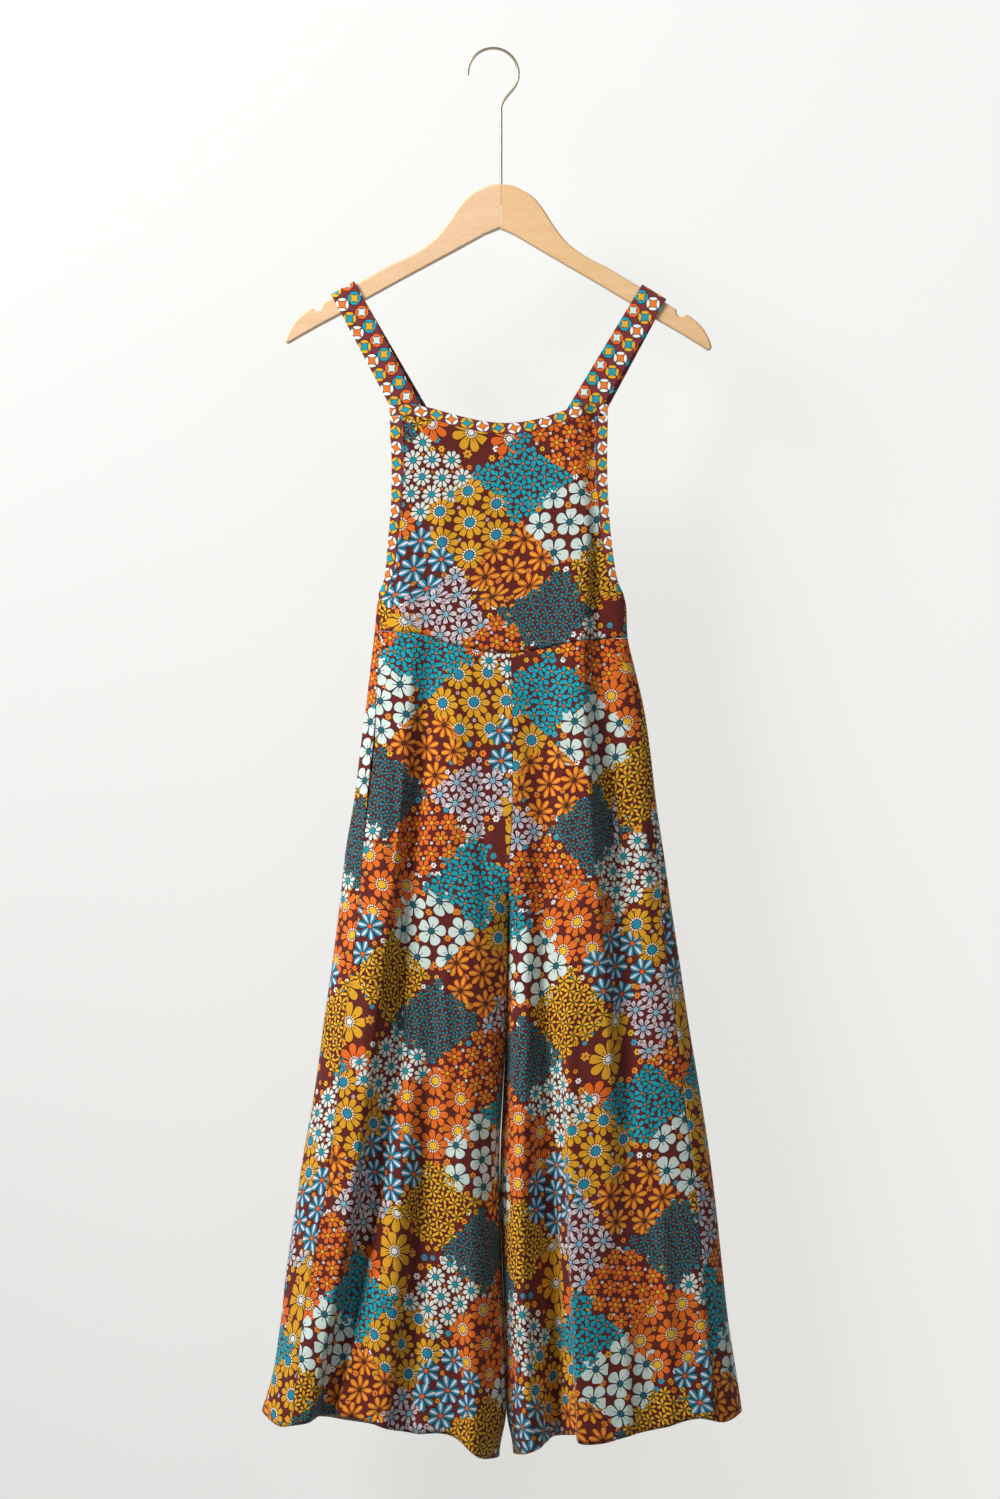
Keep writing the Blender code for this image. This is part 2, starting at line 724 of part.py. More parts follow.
def hanger_half(side, cutters, finish):
    """One half of the hanger: the outline with rounded edges, cut at the centre line."""
    way = -1 if side == "left" else 1
    outline = hanger_outline()
    # The half is drawn a little past the centre line, and the cutter takes the excess away.
    top, under = HANGER_TOP[0][1], HANGER_UNDER[-1][1]
    points = [(-PAST_CENTRE, top)] + outline + [(-PAST_CENTRE, under)]
    line = bpy.data.curves.new("hanger_" + side, "CURVE")
    line.dimensions = "2D"
    line.fill_mode = "BOTH"
    line.extrude = (HANGER_THICKNESS / 2 - HANGER_ROUNDING) * MM
    line.bevel_depth = HANGER_ROUNDING * MM
    line.bevel_resolution = 2
    line.offset = -HANGER_ROUNDING * MM
    spline = line.splines.new("POLY")
    spline.points.add(len(points) - 1)
    for point, (out, z) in zip(spline.points, points):
        x, height = hanger_point(way, out, z)
        point.co = (x * MM, height * MM, 0, 1)
    spline.use_cyclic_u = True
    drawn = bpy.data.objects.new("hanger_line_" + side, line)
    bpy.data.collections[COLLECTION].objects.link(drawn)
    drawn.rotation_euler = (math.pi / 2, 0, 0)
    bpy.context.view_layer.update()
    graph = bpy.context.evaluated_depsgraph_get()
    mesh = bpy.data.meshes.new_from_object(drawn.evaluated_get(graph))
    mesh.transform(drawn.matrix_world)
    bpy.data.objects.remove(drawn)
    shell = bmesh.new()
    shell.from_mesh(mesh)
    bmesh.ops.remove_doubles(shell, verts=shell.verts, dist=1e-5)
    bmesh.ops.recalc_face_normals(shell, faces=shell.faces)
    shell.to_mesh(mesh)
    shell.free()
    made = place("hanger_" + side, mesh, finish)
    for cutter in cutters:
        cut = made.modifiers.new(cutter.name, "BOOLEAN")
        cut.operation = "DIFFERENCE"
        cut.object = cutter
    return made


def as_cutter(name):
    """Hides the newest primitive and keeps it as a cutter."""
    made = bpy.context.active_object
    made.name = name
    made.hide_render = True
    made.display_type = "WIRE"
    for owner in list(made.users_collection):
        owner.objects.unlink(made)
    bpy.data.collections["cutters"].objects.link(made)
    return made


def centre_cutter(side):
    """A block that takes away everything past the centre line."""
    way = 1 if side == "left" else -1
    width = 40.0
    bpy.ops.mesh.primitive_cube_add(
        size=1.0,
        location=(way * (width / 2 - SEAM_GAP / 2) * MM, 0, -162 * MM),
        scale=(width * MM, 30 * MM, 70 * MM),
    )
    return as_cutter("past_centre_" + side)


def bore_cutter():
    """The hole that holds the hook's stem."""
    length = 40.0
    bpy.ops.mesh.primitive_cylinder_add(
        vertices=16,
        radius=(WIRE_RADIUS + STEM_CLEARANCE) * MM,
        depth=length * MM,
        location=(0, 0, (STEM_END_Z - STEM_CLEARANCE + length / 2) * MM),
    )
    return as_cutter("stem_bore")


def hook(finish):
    """The wire: round the arch from its tip, back in under it, and straight down to the wood."""
    angles = np.radians(np.linspace(HOOK_TIP_ANGLE, HOOK_TURN_ANGLE, HOOK_STEPS))
    points = [np.add(HOOK_CENTRE, (HOOK_RADIUS * np.cos(a), HOOK_RADIUS * np.sin(a))) for a in angles]
    # The bend leaves the arch in the arch's own direction and ends straight down the stem.
    start, end = points[-1], np.array([0, STEM_TOP_Z])
    length = np.linalg.norm(end - start)
    leave = length * np.array([math.sin(angles[-1]), -math.cos(angles[-1])])
    arrive = np.array([0, -length])
    for t in np.linspace(0, 1, HOOK_BEND_STEPS + 1)[1:]:
        rise = ease(t)
        bend = t * (1 - t) * (leave * (1 - t) - arrive * t)
        points.append(start * (1 - rise) + end * rise + bend)
    points.append((0, STEM_END_Z))
    line = bpy.data.curves.new("hook", "CURVE")
    line.dimensions = "3D"
    line.bevel_depth = WIRE_RADIUS * MM
    line.bevel_resolution = 2
    line.use_fill_caps = True
    spline = line.splines.new("POLY")
    spline.points.add(len(points) - 1)
    for point, (x, z) in zip(spline.points, points):
        point.co = (x * MM, 0, z * MM, 1)
    line.materials.append(finish)
    made = bpy.data.objects.new("hook", line)
    bpy.data.collections[COLLECTION].objects.link(made)
    return made


def clear_scene():
    for old in list(bpy.data.objects):
        bpy.data.objects.remove(old)
    for name in (COLLECTION, "cutters"):
        made = bpy.data.collections.new(name)
        bpy.context.scene.collection.children.link(made)


def build():
    clear_scene()
    print_cloth = material("printed cloth", MAROON, 0.75)
    trim_cloth = material("trim cloth", TRIM_MAROON, 0.75)
    pocket_cloth = material("pocket cloth", MAROON, 0.8)

    front_levels = ARMHOLE_LEVELS[:-1] + SIDE_LEVELS
    back_levels = (BACK_TOP_Z,) + front_levels[2:]
    cloth("bodice_front", bodice_front_path, 22, front_levels, CLOTH, print_cloth)
    cloth("bodice_back", bodice_back_path, 24, back_levels, CLOTH, print_cloth)
    for name, edge, front in (
        ("neckband_front", NECK_FRONT, True),
        ("neckband_back", NECK_BACK, False),
    ):
        cloth(name, lambda v: neckband_path(v, edge, front), 22, (0, 1), BAND, trim_cloth)
    for side in ("left", "right"):
        cloth(
            "armhole_band_" + side,
            lambda step: armhole_path(step, side),
            2,
            armhole_stops(),
            BAND,
            trim_cloth,
        )
        cloth(
            "leg_front_" + side,
            lambda v: leg_path(v, side, True),
            28,
            np.linspace(0, 1, 21),
            CLOTH,
            print_cloth,
        )
        cloth(
            "leg_back_" + side,
            lambda v: leg_path(v, side, False),
            26,
            np.linspace(0, 1, 21),
            CLOTH,
            print_cloth,
        )
        cloth(
            "pocket_" + side,
            lambda z_level: pocket_path(z_level, side),
            11,
            POCKET_LEVELS,
            POCKET,
            pocket_cloth,
            inwards=CLOTH / 2 + POCKET_GAP + POCKET / 2,
        )
    for side, arm_outer, arm_inner, bib_outer, bib_inner in STRAPS:
        cloth(
            "strap_" + side,
            lambda step: strap_path(step, (arm_outer, arm_inner), (bib_outer, bib_inner)),
            2,
            range(2 * STRAP_STEPS + len(over_arm())),
            BAND,
            trim_cloth,
        )

    bore = bore_cutter()
    beech = {
        "left": material("beech, pinker half", BEECH_PINK, 0.45),
        "right": material("beech, yellower half", BEECH_YELLOW, 0.45),
    }
    for side in ("left", "right"):
        hanger_half(side, (centre_cutter(side), bore), beech[side])
    hook(material("nickelled steel wire", NICKEL, 0.3, 1.0))


build()
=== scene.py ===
# %% [markdown]
# # Wide-leg dungaree overalls on a wooden hanger
# The overalls hang flat against a pale wall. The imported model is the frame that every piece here
# is built on. The garment's sizes below are in millimetres, as a pattern cutter would write them,
# and they turn into metres when a mesh is made. The sizes of the wall, the floor and the lights,
# and the flat size and area stated of each sheet, are in metres.

# %% The frame, and its box before anything is added
import math

import bpy
import numpy as np
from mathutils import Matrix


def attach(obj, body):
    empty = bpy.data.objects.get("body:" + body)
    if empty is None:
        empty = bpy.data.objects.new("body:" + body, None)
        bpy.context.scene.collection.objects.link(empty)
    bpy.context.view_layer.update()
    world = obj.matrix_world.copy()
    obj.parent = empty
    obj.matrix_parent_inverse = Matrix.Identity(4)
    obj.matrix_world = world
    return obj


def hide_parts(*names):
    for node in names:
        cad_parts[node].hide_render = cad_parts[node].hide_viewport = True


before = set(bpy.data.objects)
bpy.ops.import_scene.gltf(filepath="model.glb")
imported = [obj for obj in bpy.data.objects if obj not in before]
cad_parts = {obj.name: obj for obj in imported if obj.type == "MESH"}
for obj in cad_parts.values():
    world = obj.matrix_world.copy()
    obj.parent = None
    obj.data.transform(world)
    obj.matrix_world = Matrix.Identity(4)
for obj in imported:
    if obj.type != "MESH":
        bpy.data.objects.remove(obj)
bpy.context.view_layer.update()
bpy.ops.object.select_all(action="DESELECT")
MM = 0.001
print("nodes in the frame:", len(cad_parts))


# %% [markdown]
# Colours are written as the hex values that a screen shows. Blender works in linear light, so one
# function turns each of them. Each material is a table: one row a node, with its name, its kind and
# then its inputs. An input that is a word is a wire from the node of that name.

# %% Colours and nodes
def linear(hex_colour):
    """A screen colour such as #E3A81C as linear red, green and blue, with alpha 1."""
    parts = [int(hex_colour[i : i + 2], 16) / 255 for i in (1, 3, 5)]
    return tuple(
        part / 12.92 if part <= 0.04045 else ((part + 0.055) / 1.055) ** 2.4 for part in parts
    ) + (1.0,)


def add(tree, name, kind, *inputs):
    """Adds one node. kind is its type and, after a space, its operation. An operation alone is one
    of the Math node. An input is None, a value, or "node" or "node.output" for a wire. A dict gives
    inputs by name, and settings, which are in small letters. Its stops are a ramp's colours, of
    equal length, with no blending between them."""
    kind, _, operation = ("Math " + kind if kind.isupper() else kind).partition(" ")
    made = tree.nodes.new(kind if kind.startswith("Node") else "ShaderNode" + kind)
    made.name = made.label = name
    if operation:
        made.operation = operation
    slots = dict(enumerate(part for part in inputs if not isinstance(part, dict)))
    for named in [part for part in inputs if isinstance(part, dict)]:
        for key, value in named.items():
            if key == "stops":
                made.color_ramp.interpolation = "CONSTANT"
                stops = made.color_ramp.elements
                for k, colour in enumerate(value):
                    stop = stops[k] if k < 2 else stops.new(k / len(value))
                    stop.position = k / len(value)
                    stop.color = colour
            elif str(key).islower():
                setattr(made, key, value)
            else:
                slots[key] = value
    for slot, value in slots.items():
        if isinstance(value, str):
            source, _, output = value.partition(".")
            output = int(output) if output.isdigit() else output or 0
            tree.links.new(made.inputs[slot], tree.nodes[source].outputs[output])
        elif value is not None:
            made.inputs[slot].default_value = value
    return made


def new_group(name, takes, gives):
    """A node group with number inputs and outputs by name. A name with a # holds a colour."""
    group = bpy.data.node_groups.new(name, "ShaderNodeTree")
    for words, way in ((takes, "INPUT"), (gives, "OUTPUT")):
        for word in words:
            kind = "NodeSocketColor" if word.startswith("#") else "NodeSocketFloat"
            group.interface.new_socket(word.strip("#"), in_out=way, socket_type=kind)
    add(group, "in", "NodeGroupInput")
    return group


def new_material(name):
    """An empty material with its tree."""
    made = bpy.data.materials.new(name)
    made.use_nodes = True
    made.node_tree.nodes.clear()
    return made, made.node_tree


# %% [markdown]
# The photograph was taken straight on from about three and a half metres, with a long lens, and
# its frame is 1000 by 1499 pixels at 1.037 mm a pixel. The camera's sensor lies along the tall
# side, so the lens follows from the frame's height and the distance.

# %% The camera
PIXEL = 1.037
FRAME_WIDE, FRAME_HIGH = 1000, 1499
HOOK_PIXEL = (501, 51)
CAMERA_AWAY = 3350.0
aim_x = (FRAME_WIDE / 2 - HOOK_PIXEL[0]) * PIXEL
aim_z = (HOOK_PIXEL[1] - FRAME_HIGH / 2) * PIXEL
camera = bpy.data.objects.new("camera", bpy.data.cameras.new("camera"))
bpy.context.scene.collection.objects.link(camera)
camera.data.sensor_width = 36.0
camera.data.lens = 36.0 * CAMERA_AWAY / (FRAME_HIGH * PIXEL)
camera.location = (aim_x * MM, -CAMERA_AWAY * MM, aim_z * MM)
camera.rotation_euler = (math.pi / 2, 0, 0)
bpy.context.scene.camera = camera
print(f"lens {camera.data.lens:.1f} mm, aimed at height {aim_z:.0f} mm")


# %% [markdown]
# A plain pale wall stands behind the cloth and a pale floor lies below. A studio lights its
# backdrop with lamps of its own, which the garment can't shade, so most of the wall's light is
# its own, a little brighter at the top left, and the rest catches a faint shadow. From behind, the
# wall lets the eye through. Neither throws its own light back onto the cloth.

# %% Wall and floor
WALL_BEHIND = 110.0
FLOOR_Z = -1640.0
paint, tree = new_material("matt wall paint")
for row in (
    ("face", "NewGeometry"),
    ("place", "TexCoord"),
    # The top left corner of the photograph, and how far right and down of it the point lies.
    ("from corner", "VectorMath SUBTRACT", "place.Object", (-0.42, 0, -0.05)),
    ("on wall", "SeparateXYZ", "from corner"),
    ("both", "MULTIPLY", "on wall.X", "on wall.Z"),
    ("darker down", "MULTIPLY_ADD", "on wall.Z", 0.088, 0.760),
    ("less at right", "MULTIPLY_ADD", "both", -0.082, "darker down"),
    ("across", "MULTIPLY_ADD", "on wall.X", -0.005, "less at right"),
    ("at least", "MAXIMUM", "across", 0.5),
    ("own light", "MINIMUM", "at least", 0.78),
    ("lit", "Emission", linear("#FFFFFC"), "own light"),
    ("coat", "BsdfDiffuse", linear("#747474")),
    ("paint", "AddShader", "lit", "coat"),
    ("clear", "BsdfTransparent"),
    ("seen", "MixShader", "face.Backfacing", "paint", "clear"),
    ("out", "OutputMaterial", "seen"),
):
    add(tree, *row)
WALL_SIZE, WALL_MIDDLE_Z, FLOOR_SIZE = 9.0, -0.9, 14.0
bpy.ops.mesh.primitive_plane_add(
    size=WALL_SIZE, location=(0, WALL_BEHIND * MM, WALL_MIDDLE_Z), rotation=(math.pi / 2, 0, 0)
)
wall = bpy.context.active_object
wall.name = "wall"
wall.visible_shadow = False
bpy.ops.mesh.primitive_plane_add(size=FLOOR_SIZE, location=(0, 0, FLOOR_Z * MM))
floor = bpy.context.active_object
floor.name = "floor"
wall.select_set(True)
bpy.ops.object.transform_apply(location=True, rotation=True, scale=True)
for stage_piece in (wall, floor):
    stage_piece.data.materials.append(paint)
    stage_piece.visible_diffuse = False
bpy.ops.object.select_all(action="DESELECT")

# %% Soft studio light from the left front
LIGHTS = (
    # name, place, aim, size, watts
    ("window light", (-2.2, -1.45, 0.9), (0.0, 0.0, -0.1), 1.4, 144.0),
    ("fill light", (2.0, -2.8, 0.9), (0.0, 0.0, -0.2), 2.4, 20.0),
    ("back light", (0.6, 2.8, 0.6), (0.0, 0.0, -0.7), 2.4, 60.0),
)
for name, place, aim, size, watts in LIGHTS:
    lamp = bpy.data.lights.new(name, "AREA")
    lamp.size = size
    lamp.energy = watts
    lamp_object = bpy.data.objects.new(name, lamp)
    bpy.context.scene.collection.objects.link(lamp_object)
    lamp_object.location = place
    way = np.subtract(aim, place)
    lamp_object.rotation_euler = (
        math.atan2(math.hypot(way[0], way[1]), -way[2]),
        0,
        math.atan2(-way[0], way[1]),
    )
world = bpy.data.worlds.new("studio air")
bpy.context.scene.world = world
world.use_nodes = True
air = world.node_tree.nodes["Background"]
air.inputs["Color"].default_value = linear("#F6F7F8")
air.inputs["Strength"].default_value = 0.17
# The view is the plain one, in which cloth under full light shows its own hex colour.
bpy.context.scene.view_settings.view_transform = "Standard"


# %% [markdown]
# ## The cut of the cloth
# The same tables that shape the solids shape the sheets: the outline down the front, the side
# seams, the curved edges and the largest folds. A panel is the stretch of one form between its
# seams. The bodice is a flattened ring cut open at the armholes, and the legs are the same ring,
# which parts into two at the crotch.

# %% Heights, outline and seams
SEAM_GAP = 0.1
NECK_Z, UNDERARM_Z, WAIST_Z = -379.8, -571.0, -601.0
CROTCH_Z, HEM_Z = -899.0, -1410.0

OUTLINE = (
    # z, left, right, half_depth
    (-360, -116, 111, 11), (-441, -113, 110, 11), (-476, -114, 111.5, 11.5),
    (-505, -116.5, 114, 12), (-530, -118.5, 117, 12.5), (-551, -121.5, 121, 13),
    (-563, -126, 126, 13), (-571, -127.5, 128.5, 13.5), (-601, -130.5, 131, 15),
    (-636, -134.5, 139, 17), (-671, -138.5, 147, 19), (-717, -144.5, 154, 21),
    (-774, -151.5, 160.5, 23), (-828, -160.5, 168.5, 25), (-886, -167, 176.5, 26),
    (-946, -174.5, 185.5, 28), (-1012, -184, 195, 30), (-1066, -191, 204, 31),
    (-1143, -204.5, 216, 33), (-1199, -213, 223, 34), (-1246, -220.5, 228, 35),
    (-1318, -229, 236, 36), (-1368, -236.5, 243.5, 37), (-1410, -247.5, 249.5, 38),
)
BODICE_INSET = (
    # z, how far the side seam or the armhole band's inner edge lies inside the outline
    (-380, 13.5), (-441, 12.5), (-476, 10.5), (-532, 9.5), (-552, 7.5), (-563, 6.5),
    (-571, 0), (-601, 5.5),
)
SIDE_TURN = (
    # z, how much of the ring's turn at the side is left
    (-360, 0.75), (-476, 0.80), (-530, 0.88), (-552, 0.955), (-563, 1.0),
)
LEG_SEAMS = (
    # z, left side seam, right side seam, centre
    (-601, -125, 125.5, 10.5), (-671, -128.5, 139.5, 12), (-717, -131, 147, 12.5),
    (-774, -137, 153, 12), (-828, -142, 160.5, 8.5), (-886, -146, 166, 7.5),
    (-946, -153, 171.5, 7), (-1012, -162, 181.5, 5), (-1066, -166, 187, 2),
    (-1128, -173, 195, -1), (-1198, -183, 203, 0), (-1270, -197, 209, 3),
    (-1318, -204, 213, 5), (-1410, -213, 221, 5.5),
)
PARTING_HEIGHT, LEGS_APART = 60.0, 0.44
HEM_APART, HEM_APART_Z = 7.0, -1368.0

# %% Edges that run across, each as the height at points from left to right
NECK_FRONT = (
    (-116, -368), (-101, -367.5), (-76, -370.5), (-47, -378.5), (-20, -384.5),
    (7, -386.8), (34, -383.5), (67, -373.5), (96, -366), (111, -367.5),
)
NECK_BACK = (
    (-116, -393), (-76, -396), (-30, -403), (2, -405.5), (34, -403), (76, -396), (111, -393),
)
WAIST_FRONT = (
    (-131, -601), (-110, -603), (-79, -606), (-62, -612), (-32, -620), (2, -625.5),
    (35, -622), (86, -611.5), (131, -609),
)
WAIST_BACK = ((-131, -601), (0, -606), (131, -609))
HEMS = {
    ("left", True): (
        (-248, -1409), (-228, -1419), (-210, -1415), (-185, -1409), (-160, -1409),
        (-132, -1414), (-100, -1425), (-46, -1431), (-21, -1451), (-4, -1456),
    ),
    ("left", False): (
        (-248, -1409), (-215, -1423), (-160, -1428), (-100, -1436), (-46, -1442), (-4, -1456),
    ),
    ("right", True): (
        (13, -1453), (36, -1443), (67, -1431), (84, -1428), (98, -1433), (126, -1427),
        (164, -1420), (205, -1411), (232, -1416), (250, -1409),
    ),
    ("right", False): (
        (13, -1453), (49, -1446), (86, -1442), (130, -1438), (190, -1426), (225, -1420),
        (250, -1409),
    ),
}

# %% The largest folds, as in the solids
FOLD_Z = (-470, -620, -820, -1020, -1220, -1420)
FRONT_FOLDS = (
    # x at the six heights, relief at the six heights, width left, width right, lean
    ((-92, -95, -112, -136, -166, -204), (0, 2, 7, 9, 10, 10), 30, 9, 0.3),
    ((-68, -72, -92, -104, -142, -186), (0, -2, -6, -8, -8, -9), 10, 16, 0.0),
    ((-85, -85, -86, -96, -107, -120), (0, 0, 0, 2, 6, 8), 16, 14, 0.0),
    ((-70, -70, -72, -74, -80, -98), (0, 0, 0, -3, -6, -6), 12, 14, 0.0),
    ((-30, -30, -32, -32, -28, -27), (0, 0, 1, 4, 7, 10), 14, 22, 0.0),
    ((82, 81, 91, 107, 118, 125), (2, 4, 8, 5, 0, 0), 26, 9, 0.2),
    ((97, 97, 116, 128, 135, 140), (-1, -3, -7, -5, 0, 0), 10, 18, 0.0),
    ((24, 24, 24, 25, 19, 26), (0, 0, 2, 6, 9, 11), 14, 12, 0.0),
    ((42, 42, 42, 47, 50, 58), (0, 0, -3, -8, -13, -16), 16, 16, 0.0),
    ((74, 74, 74, 74, 84, 95), (0, 0, 0, 3, 11, 14), 6, 38, -0.75),
)
BACK_FOLDS = (
    ((-92, -100, -116, -136, -160, -186), (0, 2, 6, 9, 10, 11), 22, 16, 0.0),
    ((-60, -62, -72, -84, -98, -114), (0, 0, -4, -7, -9, -10), 16, 16, 0.0),
    ((-28, -28, -30, -34, -38, -44), (0, 0, 3, 5, 8, 10), 16, 18, 0.0),
    ((42, 42, 46, 52, 58, 64), (0, 2, 6, 8, 10, 12), 18, 14, 0.0),
    ((78, 80, 88, 98, 106, 114), (0, 0, -5, -8, -10, -11), 16, 18, 0.0),
    ((118, 120, 132, 148, 164, 180), (0, 2, 5, 7, 9, 10), 18, 20, 0.0),
)
LEAN_WIDTH, FOLDS_DIE_OVER = 12.0, 0.62
# Thin cloth folds a little deeper than the solid wall could.
FOLD_DEPTH = 1.4


# %% Reading the tables
def curve(x, table, column=1):
    """Reads a table's column at x as a smooth line."""
    rows = np.array(table, float)
    rows = rows[np.argsort(rows[:, 0])]
    known, values = rows[:, 0], rows[:, column]
    slopes = np.gradient(values, known)
    x = np.clip(np.asarray(x, float), known[0], known[-1])
    i = np.clip(np.searchsorted(known, x) - 1, 0, len(known) - 2)
    step = known[i + 1] - known[i]
    t = (x - known[i]) / step
    rise = t * t * (3 - 2 * t)
    return (
        values[i] * (1 - rise)
        + values[i + 1] * rise
        + step * t * (1 - t) * (slopes[i] * (1 - t) - slopes[i + 1] * t)
    )


def straight(x, table, column=1):
    """Reads a table's column at x with straight lines between its rows."""
    rows = np.array(table, float)
    rows = rows[np.argsort(rows[:, 0])]
    return np.interp(x, rows[:, 0], rows[:, column])


def ease(x):
    """0 below 0, 1 above 1, and a smooth step between."""
    x = np.clip(x, 0, 1)
    return x * x * (3 - 2 * x)


def folded(x, z, folds):
    """How far the cloth stands out at (x, z), and how far it is pushed sideways."""
    out, aside = np.zeros_like(x), np.zeros_like(x)
    for path, relief, left, right, lean in folds:
        at = curve(z, tuple(zip(FOLD_Z, path)))
        height = FOLD_DEPTH * curve(z, tuple(zip(FOLD_Z, relief)))
        width = np.where(x < at, left, right)
        out += height * np.exp(-(((x - at) / width) ** 2))
        aside += lean * height * np.exp(-(((x - at) / LEAN_WIDTH) ** 2))
    return out, aside


# %% The two forms
def flat_ring(across, half_depth, turn=1.0):
    """Depth of a flattened ring at across, which runs from -1 to 1."""
    return half_depth * np.sqrt(np.maximum(0, 1 - (turn * across) ** 4))


def bodice_point(x, z_level, front, z):
    """A point of the bodice: x and the level give the depth, and z is where it hangs."""
    left, right = curve(z_level, OUTLINE, 1), curve(z_level, OUTLINE, 2)
    across = np.clip((x - (left + right) / 2) / ((right - left) / 2), -1, 1)
    half_depth = curve(z_level, OUTLINE, 3)
    depth = flat_ring(across, half_depth, straight(z_level, SIDE_TURN))
    out = np.where(front, folded(x, z, FRONT_FOLDS)[0], 0)
    out = out * ease(depth / half_depth / FOLDS_DIE_OVER)
    return np.stack([x, np.where(front, -1.0, 1.0) * (depth + out), z], axis=-1)


def leg_ring(side, z_level, relief=1.0):
    """The line round a leg at a level, from its inner front edge past the outside to its inner
    back edge."""
    v = (z_level - WAIST_Z) / (HEM_Z - WAIST_Z)
    left, right = float(curve(z_level, OUTLINE, 1)), float(curve(z_level, OUTLINE, 2))
    half_depth = float(curve(z_level, OUTLINE, 3))
    centre = float(curve(z_level, LEG_SEAMS, 3))
    parted = float(ease((CROTCH_Z + PARTING_HEIGHT - z_level) / PARTING_HEIGHT))
    swing = float(ease((HEM_APART_Z - z_level) / (HEM_APART_Z - HEM_Z)))
    apart = LEGS_APART * min(1.0, 8 * parted) + HEM_APART * swing
    outer = left if side == "left" else right
    inner = centre - apart if side == "left" else centre + apart
    angle = np.radians(np.linspace(90, -270, 1921))
    front = angle > -math.pi / 2
    x = (inner + outer) / 2 + (inner - outer) / 2 * np.sin(angle)
    across = (x - (left + right) / 2) / ((right - left) / 2)
    whole = flat_ring(np.clip(across, -1, 1), half_depth)
    own = flat_ring(np.clip(np.sin(angle), -1, 1), half_depth)
    depth = (1 - parted) * whole + parted * own
    waist_z = np.where(front, curve(x, WAIST_FRONT), curve(x, WAIST_BACK))
    hem_z = np.where(front, curve(x, HEMS[side, True]), curve(x, HEMS[side, False]))
    z = z_level + (1 - v) ** 2 * (waist_z - WAIST_Z) + v**2 * (hem_z - HEM_Z)
    calm = ease(np.abs(np.cos(angle)) / FOLDS_DIE_OVER)
    calm = np.where(np.sin(angle) < 0, calm, 1 - parted * (1 - calm)) * relief
    out_front, aside_front = folded(x, z, FRONT_FOLDS)
    out_back, aside_back = folded(x, z, BACK_FOLDS)
    y = np.where(front, -1.0, 1.0) * (depth + np.where(front, out_front, out_back) * calm)
    return np.stack([x + np.where(front, aside_front, aside_back) * calm, y, z], axis=-1)


# %% Lines between seams
def along(points):
    """How far along the line each point lies."""
    return np.append(0, np.cumsum(np.linalg.norm(np.diff(points, axis=0), axis=1)))


# A radian of turn counts as this much more length.
MORE_AT_TURNS = 9.0


def even(points, count):
    """The line through points with count points, closer together where it turns."""
    steps = np.diff(points, axis=0)
    length = np.linalg.norm(steps, axis=1)
    unit = steps / np.maximum(length, 1e-9)[:, None]
    turning = np.arccos(np.clip((unit[1:] * unit[:-1]).sum(axis=1), -1, 1))
    at = np.append(0, np.cumsum(length + MORE_AT_TURNS * np.append(turning, 0)))
    wanted = np.linspace(0, at[-1], count)
    return np.stack([np.interp(wanted, at, points[:, k]) for k in range(3)], axis=1)


def trimmed(points, start, end):
    """The line through points, shorter by start and end along its length."""
    length = along(points)
    keep = (length > start) & (length < length[-1] - end)
    ends = [
        [np.interp(at, length, points[:, k]) for k in range(3)]
        for at in (start, length[-1] - end)
    ]
    return np.vstack([ends[0], points[keep], ends[1]])


# %% [markdown]
# Each panel's path gives the line across it at a level. A tenth of a millimetre is left at each
# seam. The solids have a wider gap there, through which the wall would show.

# %% The bodice's paths
NECKBAND_WIDTH, CURVED_SEAM_GAP = 11.5, 0.1
# The bodice's raw edges lie this deep inside the folded bands.
TUCKED = 2.5
BACK_TOP_Z = -404.8


def waist_share(z_level):
    """How far down from the underarm to the waist a level lies."""
    return max(0.0, (z_level - UNDERARM_Z) / (WAIST_Z - UNDERARM_Z))


def bodice_inset(z_level):
    """The inset of the cloth's own edge, which runs on under the armhole band."""
    inset = float(straight(z_level, BODICE_INSET))
    return inset - TUCKED * min(1.0, inset / 4) if z_level > UNDERARM_Z else inset


def bodice_front_path(z_level):
    v = (z_level - NECK_Z) / (WAIST_Z - NECK_Z)
    inset = bodice_inset(z_level)
    left, right = curve(z_level, OUTLINE, 1) + inset, curve(z_level, OUTLINE, 2) - inset
    quarter = math.pi / 2
    x = (left + right) / 2 + (right - left) / 2 * np.sin(np.linspace(-quarter, quarter, 700))
    neck = curve(x, NECK_FRONT) - NECKBAND_WIDTH + TUCKED
    sag = waist_share(z_level) * (curve(x, WAIST_FRONT) - WAIST_Z)
    z = z_level + (1 - v) ** 2 * (neck - NECK_Z) + sag
    line = bodice_point(x, z_level, np.full(x.shape, True), z)
    return trimmed(line, CURVED_SEAM_GAP / 2, CURVED_SEAM_GAP / 2)


def bodice_back_path(z_level):
    """Across the back. Below the underarm the line starts and ends round on the front."""
    v = (z_level - BACK_TOP_Z) / (WAIST_Z - BACK_TOP_Z)
    left, right = curve(z_level, OUTLINE, 1), curve(z_level, OUTLINE, 2)
    middle, half = (left + right) / 2, (right - left) / 2
    edge = math.acos(min(1.0, 1 - bodice_inset(z_level) / half))
    reach = math.pi / 2 + (edge if z_level < UNDERARM_Z else -edge)
    angle = np.linspace(-reach, reach, 900)
    x = middle + half * np.sin(angle)
    neck = curve(x, NECK_BACK) - NECKBAND_WIDTH + TUCKED
    sag = waist_share(z_level) * (curve(x, WAIST_BACK) - WAIST_Z)
    z = z_level + (1 - v) ** 2 * (neck - BACK_TOP_Z) + sag
    line = bodice_point(x, z_level, np.cos(angle) < 0, z)
    return trimmed(line, CURVED_SEAM_GAP / 2, CURVED_SEAM_GAP / 2)


